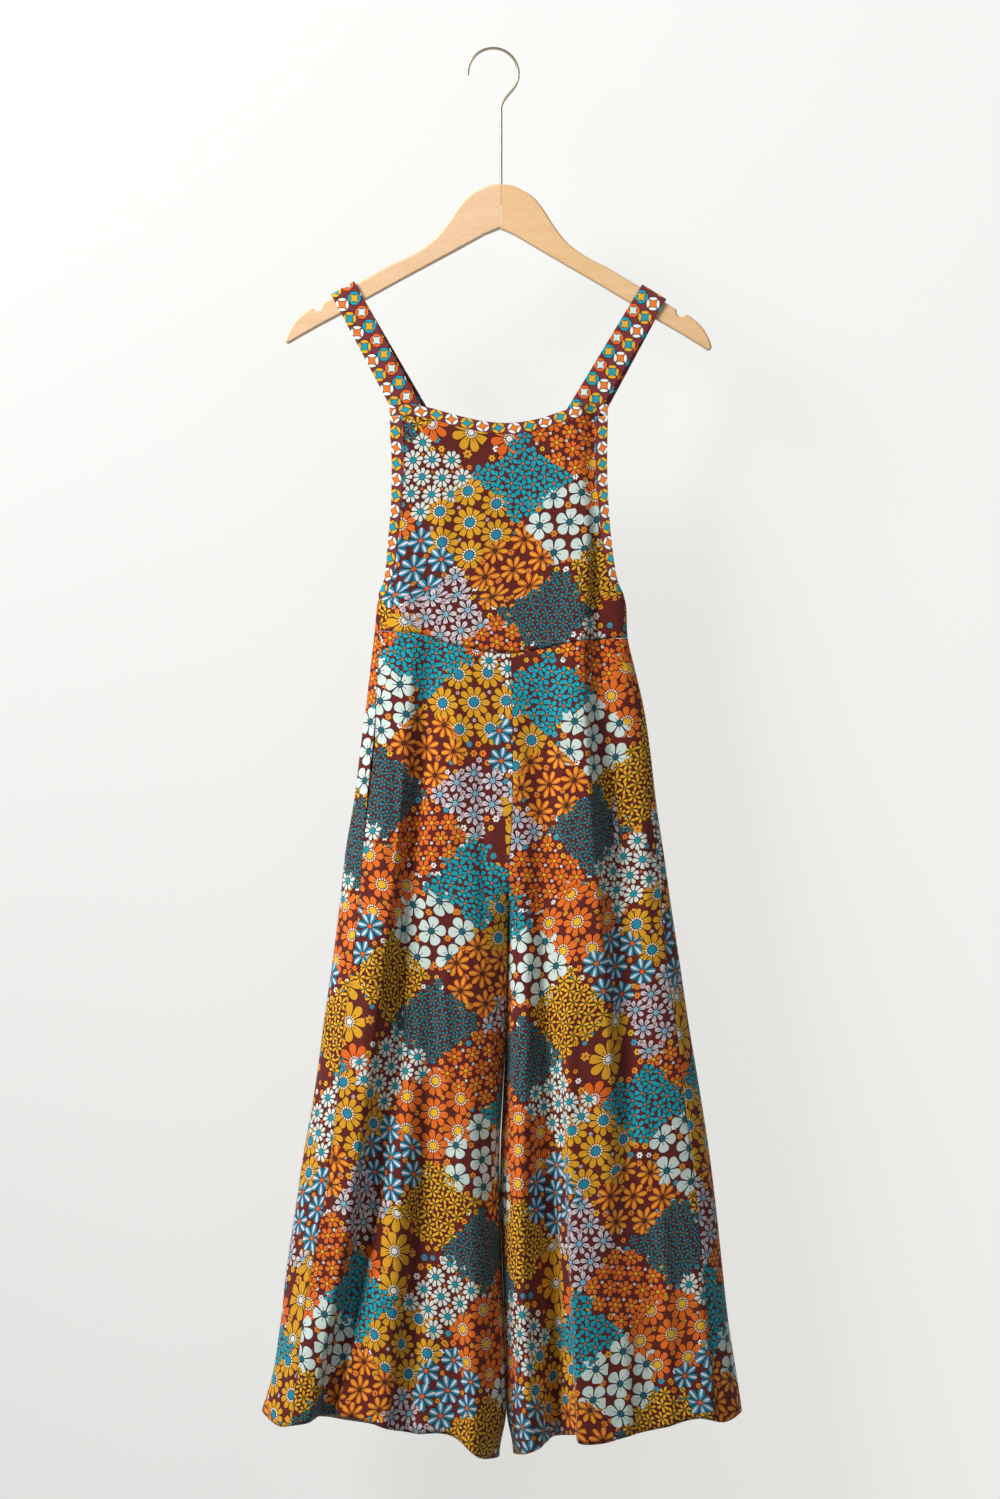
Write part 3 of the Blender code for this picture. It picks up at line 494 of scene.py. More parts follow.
# %% The legs' and pockets' paths
POCKET_MOUTH_Z, POCKET_MOUTH_OPEN = (-663.0, -829.0), 2.6
POCKET_PAST_SEAM, POCKET_SEWN = 5.0, 8.0
POCKET_FREE_OVER, POCKET_SET_BACK = 30.0, 9.0
POCKET_LEVELS = (-650, -680, -710, -740, -770, -800, -830, -862)
POCKET_REACH = (
    # z, reach inwards from the side seam
    (-650, 45), (-680, 78), (-740, 100), (-800, 105), (-840, 92), (-862, 55),
)


def side_seam(side, z_level, ring):
    """How far along the ring the side seam lies, and the ring's whole length."""
    length = along(ring)
    quarter = len(ring) // 4
    seam = float(curve(z_level, LEG_SEAMS, 1 if side == "left" else 2))
    nearest = np.argmin(np.abs(ring[quarter : 2 * quarter, 0] - seam))
    return length[quarter + nearest], length[-1]


def mouth_half(side, z):
    """Half the width that the side seam stands open at the pocket mouth."""
    if side == "right":
        return SEAM_GAP / 2
    top, foot = POCKET_MOUTH_Z
    share = np.clip((z - foot) / (top - foot), 0, 1)
    return SEAM_GAP / 2 + POCKET_MOUTH_OPEN / 2 * float(ease(1 - abs(2 * share - 1)))


def leg_path(v, side, front):
    z_level = WAIST_Z - SEAM_GAP / 2 + v * (HEM_Z - WAIST_Z + SEAM_GAP / 2)
    ring = leg_ring(side, z_level)
    seam, total = side_seam(side, z_level, ring)
    half = mouth_half(side, z_level)
    if front:
        return trimmed(ring, SEAM_GAP / 2, total - seam + half)
    return trimmed(ring, seam + half, SEAM_GAP / 2)


def pocket_path(z_level, side):
    ring, plain = leg_ring(side, z_level), leg_ring(side, z_level, 0.0)
    seam, total = side_seam(side, z_level, ring)
    free = ease((seam - along(ring) - POCKET_SEWN) / POCKET_FREE_OVER)[:, None]
    line = ring * (1 - free) + (plain + (0, POCKET_SET_BACK, 0)) * free
    reach = float(curve(z_level, POCKET_REACH))
    return trimmed(line, seam - reach, total - seam - POCKET_PAST_SEAM)


# %% The bands' paths
ARMHOLE_LEVELS = (
    -379.8, -400, -420, -441, -460, -476, -495, -514, -532, -542, -552, -557.5, -563, -567, -570.5,
)
SIDE_LEVELS = (-571.4, -579.0, -588.0, -600.7)
BACK_BAND_TOP = -406.1
ARMHOLE_LIFT = ((-380, 0), (-532, 0), (-552, 2), (-563, 5), (-571, 8))
NECKBAND_END = 0.6


def neckband_path(v, edge, front):
    x = np.linspace(edge[0][0] + NECKBAND_END, edge[-1][0] - NECKBAND_END, 300)
    z = curve(x, edge) - v * NECKBAND_WIDTH
    return bodice_point(x, z, np.full(x.shape, front), z)


def armhole_stops():
    """Steps down the levels on the front, then up them on the back."""
    last = len(ARMHOLE_LEVELS) - 1
    downwards = list(range(last + 1))
    back_end = np.interp(-BACK_BAND_TOP, np.negative(ARMHOLE_LEVELS), downwards)
    upwards = [2 * last - step for step in range(last - 1, math.ceil(back_end), -1)]
    return downwards + upwards + [2 * last - back_end]


def armhole_path(step, side):
    """Across the band, from the armhole's edge to the edge sewn to the bodice."""
    last = len(ARMHOLE_LEVELS) - 1
    inner_z = np.interp(min(step, 2 * last - step), range(last + 1), ARMHOLE_LEVELS)
    q = np.linspace(0, 1, 30)
    z = inner_z + straight(inner_z, ARMHOLE_LIFT) * (1 - q)
    inset = max(0.0, float(straight(inner_z, BODICE_INSET)) - SEAM_GAP) * q
    x = curve(z, OUTLINE, 1) + inset if side == "left" else curve(z, OUTLINE, 2) - inset
    # Near the turn under the arm the two halves of the band share one line at the side.
    flat = ease(abs(step - last) / 0.5)
    point = bodice_point(x, z, np.full(x.shape, step < last), z)
    point[:, 1] *= flat
    return point


# %% The straps' paths
BAND, STRAP_CLEARANCE, STRAP_TURN_RADIUS = 2.4, 0.45, 4.05
STRAP_TUCK, STRAP_BACK_SHIFT, STRAP_STEPS = 9.0, 6.0, 9
STRAP_LIFT, STRAP_DROP, STRAP_IN = 2.3, 7.0, 1.9
HANGER_THICKNESS, HANGER_TILT, HANGER_TURNS_AT_Z = 12.0, math.radians(0.93), -140.0
STRAPS = (
    # side, outer and inner x on the arm, outer and inner x and z on the bib, first discs,
    # (width, length), area
    ("left", (-174.5, -150.5), ((-116, -367), (-84, -367)), 5.5, (0.0285, 0.345), 0.0093),
    ("right", (169.5, 144.5), ((108, -364), (73, -364)), 10.2, (0.029, 0.340), 0.0097),
)
HANGER_TOP = (
    (0, -138.5), (12, -140), (24, -145.5), (35, -152.5), (45.5, -165.5), (56, -181.5),
    (67.5, -196), (82, -207.5), (114, -224.5), (145, -242.5), (178, -262),
)


def arm_top(x):
    """Height of the leaning hanger arm's upper edge at x."""
    way = -1 if x < 0 else 1
    near = float(curve(abs(x), HANGER_TOP))
    out = way * (x - HANGER_TILT * (near - HANGER_TURNS_AT_Z))
    return float(curve(out, HANGER_TOP)) - HANGER_TILT * way * out


def over_arm():
    """The strap's way over the arm: its depth, and its height above the arm's upper edge."""
    out = HANGER_THICKNESS / 2 + STRAP_CLEARANCE + BAND / 2
    turn, rise = STRAP_TURN_RADIUS, STRAP_LIFT
    way = [(-out, -STRAP_DROP), (-out, rise - turn)]
    for degrees in (30, 60, 90):
        angle = math.radians(degrees)
        way.append((turn - out - turn * math.cos(angle), rise - turn + turn * math.sin(angle)))
    return way + [(0, rise)] + [(-y, height) for y, height in reversed(way)]


def strap_path(step, arm, bib):
    """Across a strap, at a step from its front end, up over the hanger arm, to its back end."""
    way = over_arm()
    first, last = STRAP_STEPS, STRAP_STEPS + len(way) - 1
    edges = []
    for arm_x, (bib_x, bib_z) in zip(arm, bib):
        top = np.array([arm_x, 0, arm_top(arm_x)])
        shift = STRAP_BACK_SHIFT * float(ease((step - first - 3) / 4))
        foot = np.array([bib_x + shift, 0, bib_z])
        run = (foot - top) / (top[2] - foot[2])
        y, height = (
            np.interp(step - first, range(len(way)), [row[k] for row in way]) for k in (0, 1)
        )
        if step < first:
            foot_height = bib_z - STRAP_TUCK - top[2]
            height += (foot_height - height) * (1 - step / first)
            y += STRAP_IN * (1 - step / first)
        if step > last:
            foot_height = NECK_BACK[0][1] - STRAP_TUCK - top[2]
            height += (foot_height - height) * (step - last) / first
            y -= STRAP_IN * (step - last) / first
        point = top - run * height
        point[1] = y
        edges.append(point)
    q = np.linspace(0, 1, 20)[:, None]
    return edges[0] * (1 - q) + edges[1] * q


# %% [markdown]
# ## The fine creases
# The large folds are in the solids. On top of them lie the shallow ones that a viewer sees as soft
# bands of light and shade. Each is a line down the cloth with its own length, width and height,
# none like its neighbour, and the back has its own.

# %% Creases
FRONT_CREASES = (
    # x and z at its top, x and z at its foot, width, height
    (-60, -440, -74, -640, 9, 1.6), (-20, -430, -28, -560, 12, 1.0), (46, -440, 40, -600, 11, 1.2),
    (88, -450, 84, -640, 5, 2.2), (-100, -500, -108, -640, 6, 1.6), (12, -650, 18, -800, 8, 1.3),
    (-46, -650, -52, -860, 8, 1.8), (-24, -700, -18, -930, 6, -1.8), (58, -660, 64, -880, 7, 1.6),
    (-128, -860, -146, -1080, 7, 2.0), (-60, -900, -58, -1150, 7, 2.2),
    (-12, -960, -14, -1200, 5, 1.8), (-44, -1080, -50, -1330, 7, 2.4),
    (-150, -1120, -176, -1340, 9, 2.4), (-122, -1240, -138, -1415, 7, 2.4),
    (-78, -1290, -84, -1430, 7, 2.4), (-190, -1290, -214, -1418, 8, 2.4),
    (14, -930, 12, -1140, 5, 1.6), (66, -960, 70, -1120, 7, 2.0), (100, -1040, 110, -1260, 9, 2.2),
    (134, -960, 148, -1200, 7, 2.0), (160, -1150, 172, -1390, 8, 2.4),
    (120, -1280, 128, -1428, 8, 2.4), (196, -1240, 214, -1412, 7, 2.2),
    (34, -1200, 38, -1440, 5, 1.8), (142, -760, 150, -920, 6, 1.5),
    (-108, -700, -118, -900, 6, -1.6), (4, -1010, -2, -1300, 5, -1.4),
    # The sharpest lines: the floors of the deepest valleys
    (-78, -680, -98, -880, 4, -2.4), (-100, -860, -112, -1120, 4, -3.0),
    (-112, -1090, -178, -1425, 5, -3.6), (-74, -1080, -112, -1415, 4, -2.4),
    (44, -940, 46, -1170, 4, -2.0), (50, -1130, 56, -1440, 5, -4.0),
    (108, -690, 122, -880, 4, -2.6), (92, -480, 98, -640, 4, -1.8),
    (40, -900, 41, -985, 3.5, -1.6),
)
BACK_CREASES = (
    (-50, -430, -56, -600, 9, 1.5), (10, -440, 6, -580, 11, 1.1), (62, -440, 70, -620, 8, 1.5),
    (-12, -640, -10, -860, 7, 1.8), (28, -680, 30, -900, 6, -1.8), (-100, -660, -112, -880, 8, 1.7),
    (96, -650, 104, -900, 7, 1.9), (-132, -900, -148, -1150, 8, 2.2),
    (-48, -940, -52, -1200, 6, 2.2), (20, -1000, 22, -1250, 7, 1.9), (84, -1000, 90, -1280, 8, 2.3),
    (136, -940, 150, -1180, 7, 2.0), (-170, -1180, -196, -1400, 9, 2.5),
    (-86, -1230, -94, -1420, 7, 2.4), (-20, -1260, -22, -1440, 7, 2.3),
    (60, -1300, 64, -1440, 8, 2.2), (186, -1220, 206, -1405, 8, 2.4),
    (120, -1290, 132, -1430, 8, 2.3),
    (-70, -760, -82, -1010, 4, -2.2), (-92, -1020, -112, -1400, 5, -3.4),
    (98, -900, 108, -1180, 4, -2.8), (112, -1150, 120, -1420, 5, -3.2),
    (-6, -900, -8, -1200, 4, -1.8),
)

CREASE_DEPTH, CREASE_BOW, CREASE_DIES_OVER = 1.3, 3.0, 0.3
NEAR_HEM = 60.0


def crease_height(points, creases):
    """How far the creases lift the cloth at each point. One that comes near the hem runs out
    through it, and the others die away at both ends."""
    x, z = points[..., 0], points[..., 2]
    height = np.zeros_like(x)
    for top_x, top_z, foot_x, foot_z, width, rise in creases:
        share = (z - top_z) / (foot_z - top_z)
        at = top_x + (foot_x - top_x) * share + CREASE_BOW * np.sin(share * math.pi)
        ends = ease(share / CREASE_DIES_OVER)
        if foot_z >= HEM_Z + NEAR_HEM:
            ends = ends * ease((1 - share) / CREASE_DIES_OVER)
        height += rise * ends * np.exp(-(((x - at) / width) ** 2))
    return CREASE_DEPTH * height


# %% [markdown]
# ## From a path to a sheet
# Each panel's lines make a grid. The grid is a sheet with no thickness, and Solidify gives it the
# thickness of the cloth. Its UV map is the flat cut in metres, so the print keeps its size and
# closes up in the folds as on real cloth. A second map holds how far each point is from the
# nearest sewn edge, which the puckers and the painted shade along a seam read.

# %% Making a sheet
def refined(stops, times):
    """The stops with times as many steps between them."""
    count = len(stops) - 1
    return np.interp(np.arange(times * count + 1) / times, np.arange(count + 1), stops)


def grid_of(path, stops, columns):
    """Points of the sheet as rows of columns, and the way out of the cloth at each."""
    points = np.array([even(path(stop), columns + 1) for stop in stops])
    normals = np.cross(np.gradient(points, axis=1), np.gradient(points, axis=0))
    normals /= np.maximum(np.linalg.norm(normals, axis=2, keepdims=True), 1e-9)
    if (points[..., 1] * normals[..., 1]).sum() < 0:
        normals = -normals
    return points, normals


# A sheet with no sewn edge is said to lie this far from one, too far for a pucker.
NO_SEAM = 30.0


def make_sheet(name, points, normals, flat, thickness, finishes, seam=None):
    """A cloth sheet from a grid. flat is each point on the cut cloth, and seam is how far it lies
    from a sewn edge. Both are in mm."""
    rows, columns = points.shape[:2]
    index = np.arange(rows * columns).reshape(rows, columns)
    a, b = index[:-1, :-1].ravel(), index[:-1, 1:].ravel()
    c, d = index[1:, 1:].ravel(), index[1:, :-1].ravel()
    faces = np.stack([a, b, c, d], axis=1)
    first = points.reshape(-1, 3)[faces[0]]
    facing = np.cross(first[1] - first[0], first[3] - first[0]) @ normals.reshape(-1, 3)[a[0]]
    if facing < 0:
        faces = faces[:, ::-1]
    mesh = bpy.data.meshes.new(name)
    mesh.from_pydata((points.reshape(-1, 3) * MM).tolist(), [], faces.tolist())
    seam = np.full(points.shape[:2], NO_SEAM) if seam is None else seam
    sewing = np.stack([seam, np.zeros_like(seam)], axis=-1)
    for layer_name, values in (("cut", flat * MM), ("sewing", sewing)):
        layer = mesh.uv_layers.new(name=layer_name)
        values = values.reshape(-1, 2)[faces.ravel()]
        layer.data.foreach_set("uv", values.astype(np.float32).ravel())
    for finish in finishes:
        mesh.materials.append(finish)
    mesh.shade_smooth()
    made = bpy.data.objects.new(name, mesh)
    bpy.context.scene.collection.objects.link(made)
    wall_of_cloth = made.modifiers.new("cloth thickness", "SOLIDIFY")
    wall_of_cloth.thickness = thickness * MM
    wall_of_cloth.offset = 0.0
    wall_of_cloth.material_offset = 1 if len(finishes) > 1 else 0
    bpy.context.view_layer.objects.active = made
    bpy.ops.object.modifier_apply(modifier=wall_of_cloth.name)
    width = max(along(points[k])[-1] for k in range(rows))
    length = max(along(points[:, k])[-1] for k in range(columns))
    corner, beside, below = points[:-1, :-1], points[:-1, 1:], points[1:, :-1]
    area = np.linalg.norm(np.cross(beside - corner, below - corner), axis=2).sum() * MM**2
    faces = len(made.data.polygons)
    print(f"{name}: {width:.0f} x {length:.0f} mm, {area:.4f} m2, {faces} faces")
    return made


def settle(piece, node):
    """Parents the finished sheet to the root, and has it stand for its solid, which is hidden."""
    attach(piece, "root")
    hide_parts(node)


# %% [markdown]
# ## The print
# A flower patchwork on a dark red ground, laid out afresh: diamonds about 104 mm wide, each filled
# with one ordinary flower, in the colours and at the scale of the cloth in the photograph. A flower
# is drawn if its own middle lies in the diamond, so flowers at the borders stay whole.
# Each row below is one flower. Its spacing, the reach of its petals, where they begin, its heart,
# the ring of dots round the heart and the filler's reach are in millimetres. The tip is how blunt
# a petal ends: 1 is a point, and 6 is nearly square.

# %% The flowers
PATCH_WIDE, PATCH_HIGH = 104.0, 94.0
GROUND, INK = "#5E1B15", "#200A09"
FLOWERS = (
    # across, up, reach, wander, petals, inner, heart, full, dots, tip, filler, stripe,
    # petal, other petal, heart colour, stripe colour, filler colour
    # Small teal flowers
    (13.0, 12.0, 8.0, 0.30, 5, 0.9, 1.4, 1.0, 99, 3, 0.0, 0.0,
     "#11A0B0", "#0E96A8", "#CC6A2A", "#11A0B0", "#11A0B0"),
    # Orange flowers with a yellow stripe down each petal
    (29.0, 26.0, 14.6, 0.12, 8, 1.0, 1.6, 1.0, 99, 3, 3.6, 0.34,
     "#E2741C", "#DB6415", "#5E2212", "#E9A42A", "#E0802A"),
    # Round rosettes
    (18.0, 16.0, 8.6, 0.08, 6, 1.0, 1.9, 1.0, 99, 5, 1.8, 0.0,
     "#E2721C", "#DE6617", "#E2AA22", "#E2721C", "#DFE0DA"),
    # White flowers with five broad petals
    (31.0, 28.0, 15.8, 0.14, 5, 2.2, 3.2, 0.96, 99, 5, 3.8, 0.0,
     "#CEDDD5", "#CEDDD5", "#175A66", "#CEDDD5", "#DB8622"),
    # Small dark teal flowers
    (10.8, 10.2, 5.9, 0.08, 6, 0.9, 1.2, 1.0, 99, 3, 0.0, 0.0,
     "#257985", "#21707C", "#A2512A", "#257985", "#257985"),
    # Orange daisies
    (33.0, 29.0, 17.0, 0.08, 9, 3.4, 4.2, 1.0, 5.8, 5, 3.0, 0.0,
     "#DF6A1B", "#DF6A1B", "#E6B020", "#DF6A1B", "#D99428"),
    # Mustard stars
    (12.6, 11.6, 7.6, 0.14, 6, 0.5, 1.1, 1.0, 99, 1.8, 0.0, 0.0,
     "#E5A51A", "#E6AA1C", "#7E7A26", "#E5A51A", "#E5A51A"),
    # Small white daisies
    (20.5, 18.0, 10.4, 0.08, 9, 2.8, 3.1, 1.0, 99, 5, 1.8, 0.0,
     "#D8DAD0", "#D8DAD0", "#128C9C", "#D8DAD0", "#E0701E"),
    # Teal flowers with a white stripe down each petal
    (29.0, 26.0, 14.8, 0.12, 7, 1.4, 2.3, 1.0, 99, 4, 3.0, 0.30,
     "#1685A0", "#1685A0", "#DB5A1A", "#D9D6E0", "#DD8A24"),
    # Large orange and mustard flowers
    (40.0, 35.0, 20.5, 0.08, 8, 2.8, 3.2, 0.98, 5.0, 4, 5.0, 0.0,
     "#DF6417", "#D69A1A", "#E4DFD8", "#DF6417", "#DA9626"),
    # Mustard daisies
    (33.0, 29.0, 17.0, 0.08, 10, 3.8, 4.4, 1.0, 6.2, 5, 2.2, 0.0,
     "#D89A19", "#D89A19", "#1583A0", "#D89A19", "#C7B6B0"),
    # Pale lavender flowers in separate petals
    (22.0, 19.5, 11.4, 0.18, 7, 4.2, 2.8, 0.86, 99, 3, 3.4, 0.0,
     "#CFBFC6", "#D3C8CC", "#79AFC6", "#CFBFC6", "#C9BBC2"),
)


# %% [markdown]
# The small flower fills the gaps: a six-lobed outline whose reach swings with the angle, an ink
# line round it, and a heart a third as wide.

# %% The small flower
floret = new_group("small flower", ("Across", "Up", "Reach"), ("Petals", "Heart", "Line"))
for row in (
    ("turned", "ARCTAN2", "in.Up", "in.Across"),
    ("lobes", "MULTIPLY", "turned", 6.0),
    ("swing", "COSINE", "lobes"),
    ("share", "MULTIPLY_ADD", "swing", 0.16, 0.84),
    ("edge", "MULTIPLY", "share", "in.Reach"),
    ("line edge", "ADD", "edge", 0.4),
    ("place", "CombineXYZ", "in.Across", "in.Up"),
    ("away", "VectorMath LENGTH", "place"),
    ("petals", "LESS_THAN", "away.Value", "edge"),
    ("line", "LESS_THAN", "away.Value", "line edge"),
    ("third", "MULTIPLY", "in.Reach", 0.3),
    ("heart", "LESS_THAN", "away.Value", "third"),
    ("out", "NodeGroupOutput", "petals", "heart", "line"),
):
    add(floret, *row)

# %% [markdown]
# Flowers stand on a staggered lattice, in which every other row lies half a step along. One group
# finds the nearest place of it, counted in steps. A second one turns a flower's middle back to the
# cloth and gives its share of the way from the diamond's middle to its border.

# %% The lattice and the diamond
lattice = new_group("staggered lattice", ("U", "V", "Start"), ("Column", "Row", "Middle"))
for row in (
    ("row", "ROUND", "in.V"),
    ("odd", "FLOORED_MODULO", "row", 2.0),
    ("shift", "MULTIPLY_ADD", "odd", 0.5, "in.Start"),
    ("u in row", "SUBTRACT", "in.U", "shift"),
    ("column", "ROUND", "u in row"),
    ("middle", "ADD", "column", "shift"),
    ("out", "NodeGroupOutput", "column", "row", "middle"),
):
    add(lattice, *row)
diamond = new_group("share of the diamond", ("Across", "Up", "Turn"), ("Share",))
for row in (
    ("place", "CombineXYZ", "in.Across", "in.Up"),
    ("back", "VectorRotate", {
        "rotation_type": "Z_AXIS", "invert": True, "Vector": "place", "Angle": "in.Turn",
    }),
    ("size", "VectorMath ABSOLUTE", "back"),
    ("share", "VectorMath DOT_PRODUCT", "size", (2 / PATCH_WIDE, 2 / PATCH_HIGH, 0)),
    ("out", "NodeGroupOutput", "share.Value"),
):
    add(diamond, *row)

# %% [markdown]
# The large flower works in the diamond's own millimetres, turned by a chance angle so that no two
# diamonds run the same way. It finds the nearest flower of a staggered lattice, throws dice for
# that flower's lean, and measures how far the point lies inside the nearest petal. A petal is a
# wedge between two rays with a rounded end, so neighbours touch along an inked line.

# %% The flower of a patch
HOLLOW_UP = 0.34
motif = new_group("patch of flowers", ("Across", "Up", "Kind", "Seed"), ("#Colour", "Cover"))
add(motif, "pick", "MULTIPLY_ADD", "in.Kind", 1 / len(FLOWERS), 0.5 / len(FLOWERS))
for name, columns in (("sizes a", range(4)), ("sizes b", range(4, 8)), ("sizes c", range(8, 12))):
    sizes = [tuple(flower[k] for k in columns) for flower in FLOWERS]
    add(motif, name, "ValToRGB", "pick", {"stops": sizes})
    add(motif, name[-1], "SeparateColor", name)
for column, name in enumerate(("petal", "other", "heart", "stripe", "filler"), 12):
    inks = [linear(flower[column]) for flower in FLOWERS]
    add(motif, name + " colour", "ValToRGB", "pick", {"stops": inks})
for row in (
    # The diamond's own turn.
    ("place", "CombineXYZ", "in.Across", "in.Up"),
    ("turn chance", "TexWhiteNoise", {"noise_dimensions": "1D", "W": "in.Seed"}),
    ("turn", "MULTIPLY", "turn chance.Value", math.pi),
    ("turned", "VectorRotate", {"rotation_type": "Z_AXIS", "Vector": "place", "Angle": "turn"}),
    ("on turned", "SeparateXYZ", "turned"),
    # The nearest flower of the lattice, with its own dice.
    ("x", "DIVIDE", "on turned.X", "a.Red"),
    ("y", "DIVIDE", "on turned.Y", "a.Green"),
    ("nearest", "Group", {"node_tree": lattice}, "x", "y"),
    ("cell", "CombineXYZ", "nearest.Column", "nearest.Row", "in.Seed"),
    ("chance", "TexWhiteNoise", {"noise_dimensions": "3D"}, "cell"),
    ("dice", "SeparateColor", "chance.Color"),
    ("lean x", "SUBTRACT", "dice.Red", 0.5),
    ("lean y", "SUBTRACT", "dice.Green", 0.5),
    ("wander x", "MULTIPLY_ADD", "lean x", "sizes a.Alpha", "nearest.Middle"),
    ("wander y", "MULTIPLY_ADD", "lean y", "sizes a.Alpha", "nearest.Row"),
    ("flower x", "MULTIPLY", "wander x", "a.Red"),
    ("flower y", "MULTIPLY", "wander y", "a.Green"),
    # It is drawn only if its middle lies in the diamond.
    ("flower share", "Group", {"node_tree": diamond}, "flower x", "flower y", "turn"),
    ("left out", "GREATER_THAN", "flower share", 1.0),
    ("flower at", "CombineXYZ", "flower x", "flower y"),
    ("offset", "VectorMath SUBTRACT", "turned", "flower at"),
    ("from flower", "SeparateXYZ", "offset"),
    ("distance", "VectorMath LENGTH", "offset"),
    ("r", "MULTIPLY_ADD", "left out", 500.0, "distance.Value"),
    # How far round the point lies from the middle line of the nearest petal.
    ("bearing", "ARCTAN2", "from flower.Y", "from flower.X"),
    ("spin", "MULTIPLY_ADD", "dice.Blue", 2 * math.pi, "bearing"),
    ("petal turns", "MULTIPLY", "spin", "b.Red"),
    ("turns", "MULTIPLY_ADD", "petal turns", 0.5 / math.pi, 50.0),
    ("in petal", "FRACT", "turns"),
    ("off middle", "SUBTRACT", "in petal", 0.5),
    ("off side", "ABSOLUTE", "off middle"),
    ("arc one", "MULTIPLY", "r", 2 * math.pi),
    ("sector", "DIVIDE", "arc one", "b.Red"),
    ("aside", "MULTIPLY", "off side", "sector"),
    # The petal's half width at this distance from the heart.
    ("size dice", "MULTIPLY_ADD", "lean y", 0.12, 0.97),
    ("reach", "MULTIPLY", "a.Blue", "size dice"),
    ("span", "SUBTRACT", "reach", "b.Green"),
    ("past inner", "SUBTRACT", "r", "b.Green"),
    ("way out", "DIVIDE", "past inner", "span"),
    ("way", "MAXIMUM", "way out", 0.0),
    ("blunt", "POWER", "way", "c.Green"),
    ("left of one", "SUBTRACT", 1.0, "blunt"),
    ("hump", "MAXIMUM", "left of one", 0.0),
    ("profile", "SQRT", "hump"),
    ("wedge", "MULTIPLY", "sector", "sizes b.Alpha"),
    ("full half", "MULTIPLY", "wedge", 0.5),
    ("half width", "MULTIPLY", "full half", "profile"),
    ("depth", "SUBTRACT", "half width", "aside"),
    ("is line", "GREATER_THAN", "depth", -0.3),
    ("is petal", "GREATER_THAN", "depth", 0.5),
    ("stripe half", "MULTIPLY", "half width", "sizes c.Alpha"),
    ("near middle", "LESS_THAN", "aside", "stripe half"),
    ("is stripe", "MULTIPLY", "near middle", "is petal"),
    # A short vein runs out of the heart on the larger petals.
    ("vein side", "LESS_THAN", "aside", 0.3),
    ("vein near", "LESS_THAN", "way", 0.42),
    ("large", "GREATER_THAN", "a.Blue", 11.0),
    ("vein on", "MULTIPLY", "vein near", "large"),
    ("is vein", "MULTIPLY", "vein on", "vein side"),
    # The heart, its outline and the ring of white dots.
    ("is heart", "LESS_THAN", "r", "b.Blue"),
    ("heart edge", "ADD", "b.Blue", 0.6),
    ("is heart line", "LESS_THAN", "r", "heart edge"),
    ("dot turns", "MULTIPLY_ADD", "bearing", 14 * 0.5 / math.pi, 50.0),
    ("dot part", "FRACT", "dot turns"),
    ("dot off", "SUBTRACT", "dot part", 0.5),
    ("dot side", "ABSOLUTE", "dot off"),
    ("dot near", "LESS_THAN", "dot side", 0.3),
    ("ring off", "SUBTRACT", "r", "c.Red"),
    ("ring side", "ABSOLUTE", "ring off"),
    ("is ring", "LESS_THAN", "ring side", 0.7),
    ("is dot", "MULTIPLY", "is ring", "dot near"),
    # The filler stands in the hollow between three flowers.
    ("y up", "SUBTRACT", "y", HOLLOW_UP),
    ("hollow", "Group", {"node_tree": lattice}, "x", "y up", 0.5),
    ("hollow y", "ADD", "hollow.Row", HOLLOW_UP),
    ("filler x", "MULTIPLY", "hollow.Middle", "a.Red"),
    ("filler y", "MULTIPLY", "hollow y", "a.Green"),
    ("filler share", "Group", {"node_tree": diamond}, "filler x", "filler y", "turn"),
    ("filler kept", "LESS_THAN", "filler share", 1.0),
    ("filler at", "CombineXYZ", "filler x", "filler y"),
    ("filler reach", "MULTIPLY", "c.Blue", "filler kept"),
    ("filler off", "VectorMath SUBTRACT", "turned", "filler at"),
    ("from filler", "SeparateXYZ", "filler off"),
    ("small", "Group", {"node_tree": floret}, "from filler.X", "from filler.Y", "filler reach"),
    ("small line", "MULTIPLY", "small.Line", "filler kept"),
    # The colours, from the ground up.
    ("filler heart", "MixRGB", "small.Heart", "filler colour", linear("#B3471E")),
    ("filler inked", "MixRGB", "small.Petals", linear(INK), "filler heart"),
    ("which petal", "GREATER_THAN", "dice.Green", 0.5),
    ("petal pick", "MixRGB", "which petal", "petal colour", "other colour"),
    ("any line", "MAXIMUM", "is line", "is heart line"),
    ("any dot", "MAXIMUM", "any line", "is ring"),
    ("cover", "MAXIMUM", "any dot", "small line"),
):
    add(motif, *row)
under = "filler inked"
for layer, colour in (
    ("line", linear(INK)), ("petal", "petal pick"), ("stripe", "stripe colour"),
    ("vein", linear(INK)), ("ring", linear(INK)), ("heart line", linear(INK)),
    ("heart", "heart colour"), ("dot", linear("#F4F1EA")),
):
    add(motif, "with " + layer, "MixRGB", "is " + layer, under, colour)
    under = "with " + layer
add(motif, "out", "NodeGroupOutput", under, "cover")
print("nodes that draw a flower:", len(motif.nodes))

# %% [markdown]
# The patchwork picks the diamond that the point lies in, and the nearest one beside it, because a
# whole flower of the neighbour may reach over the border. Tiny strewn flowers lie under both, in
# the gaps that are left along the borders.

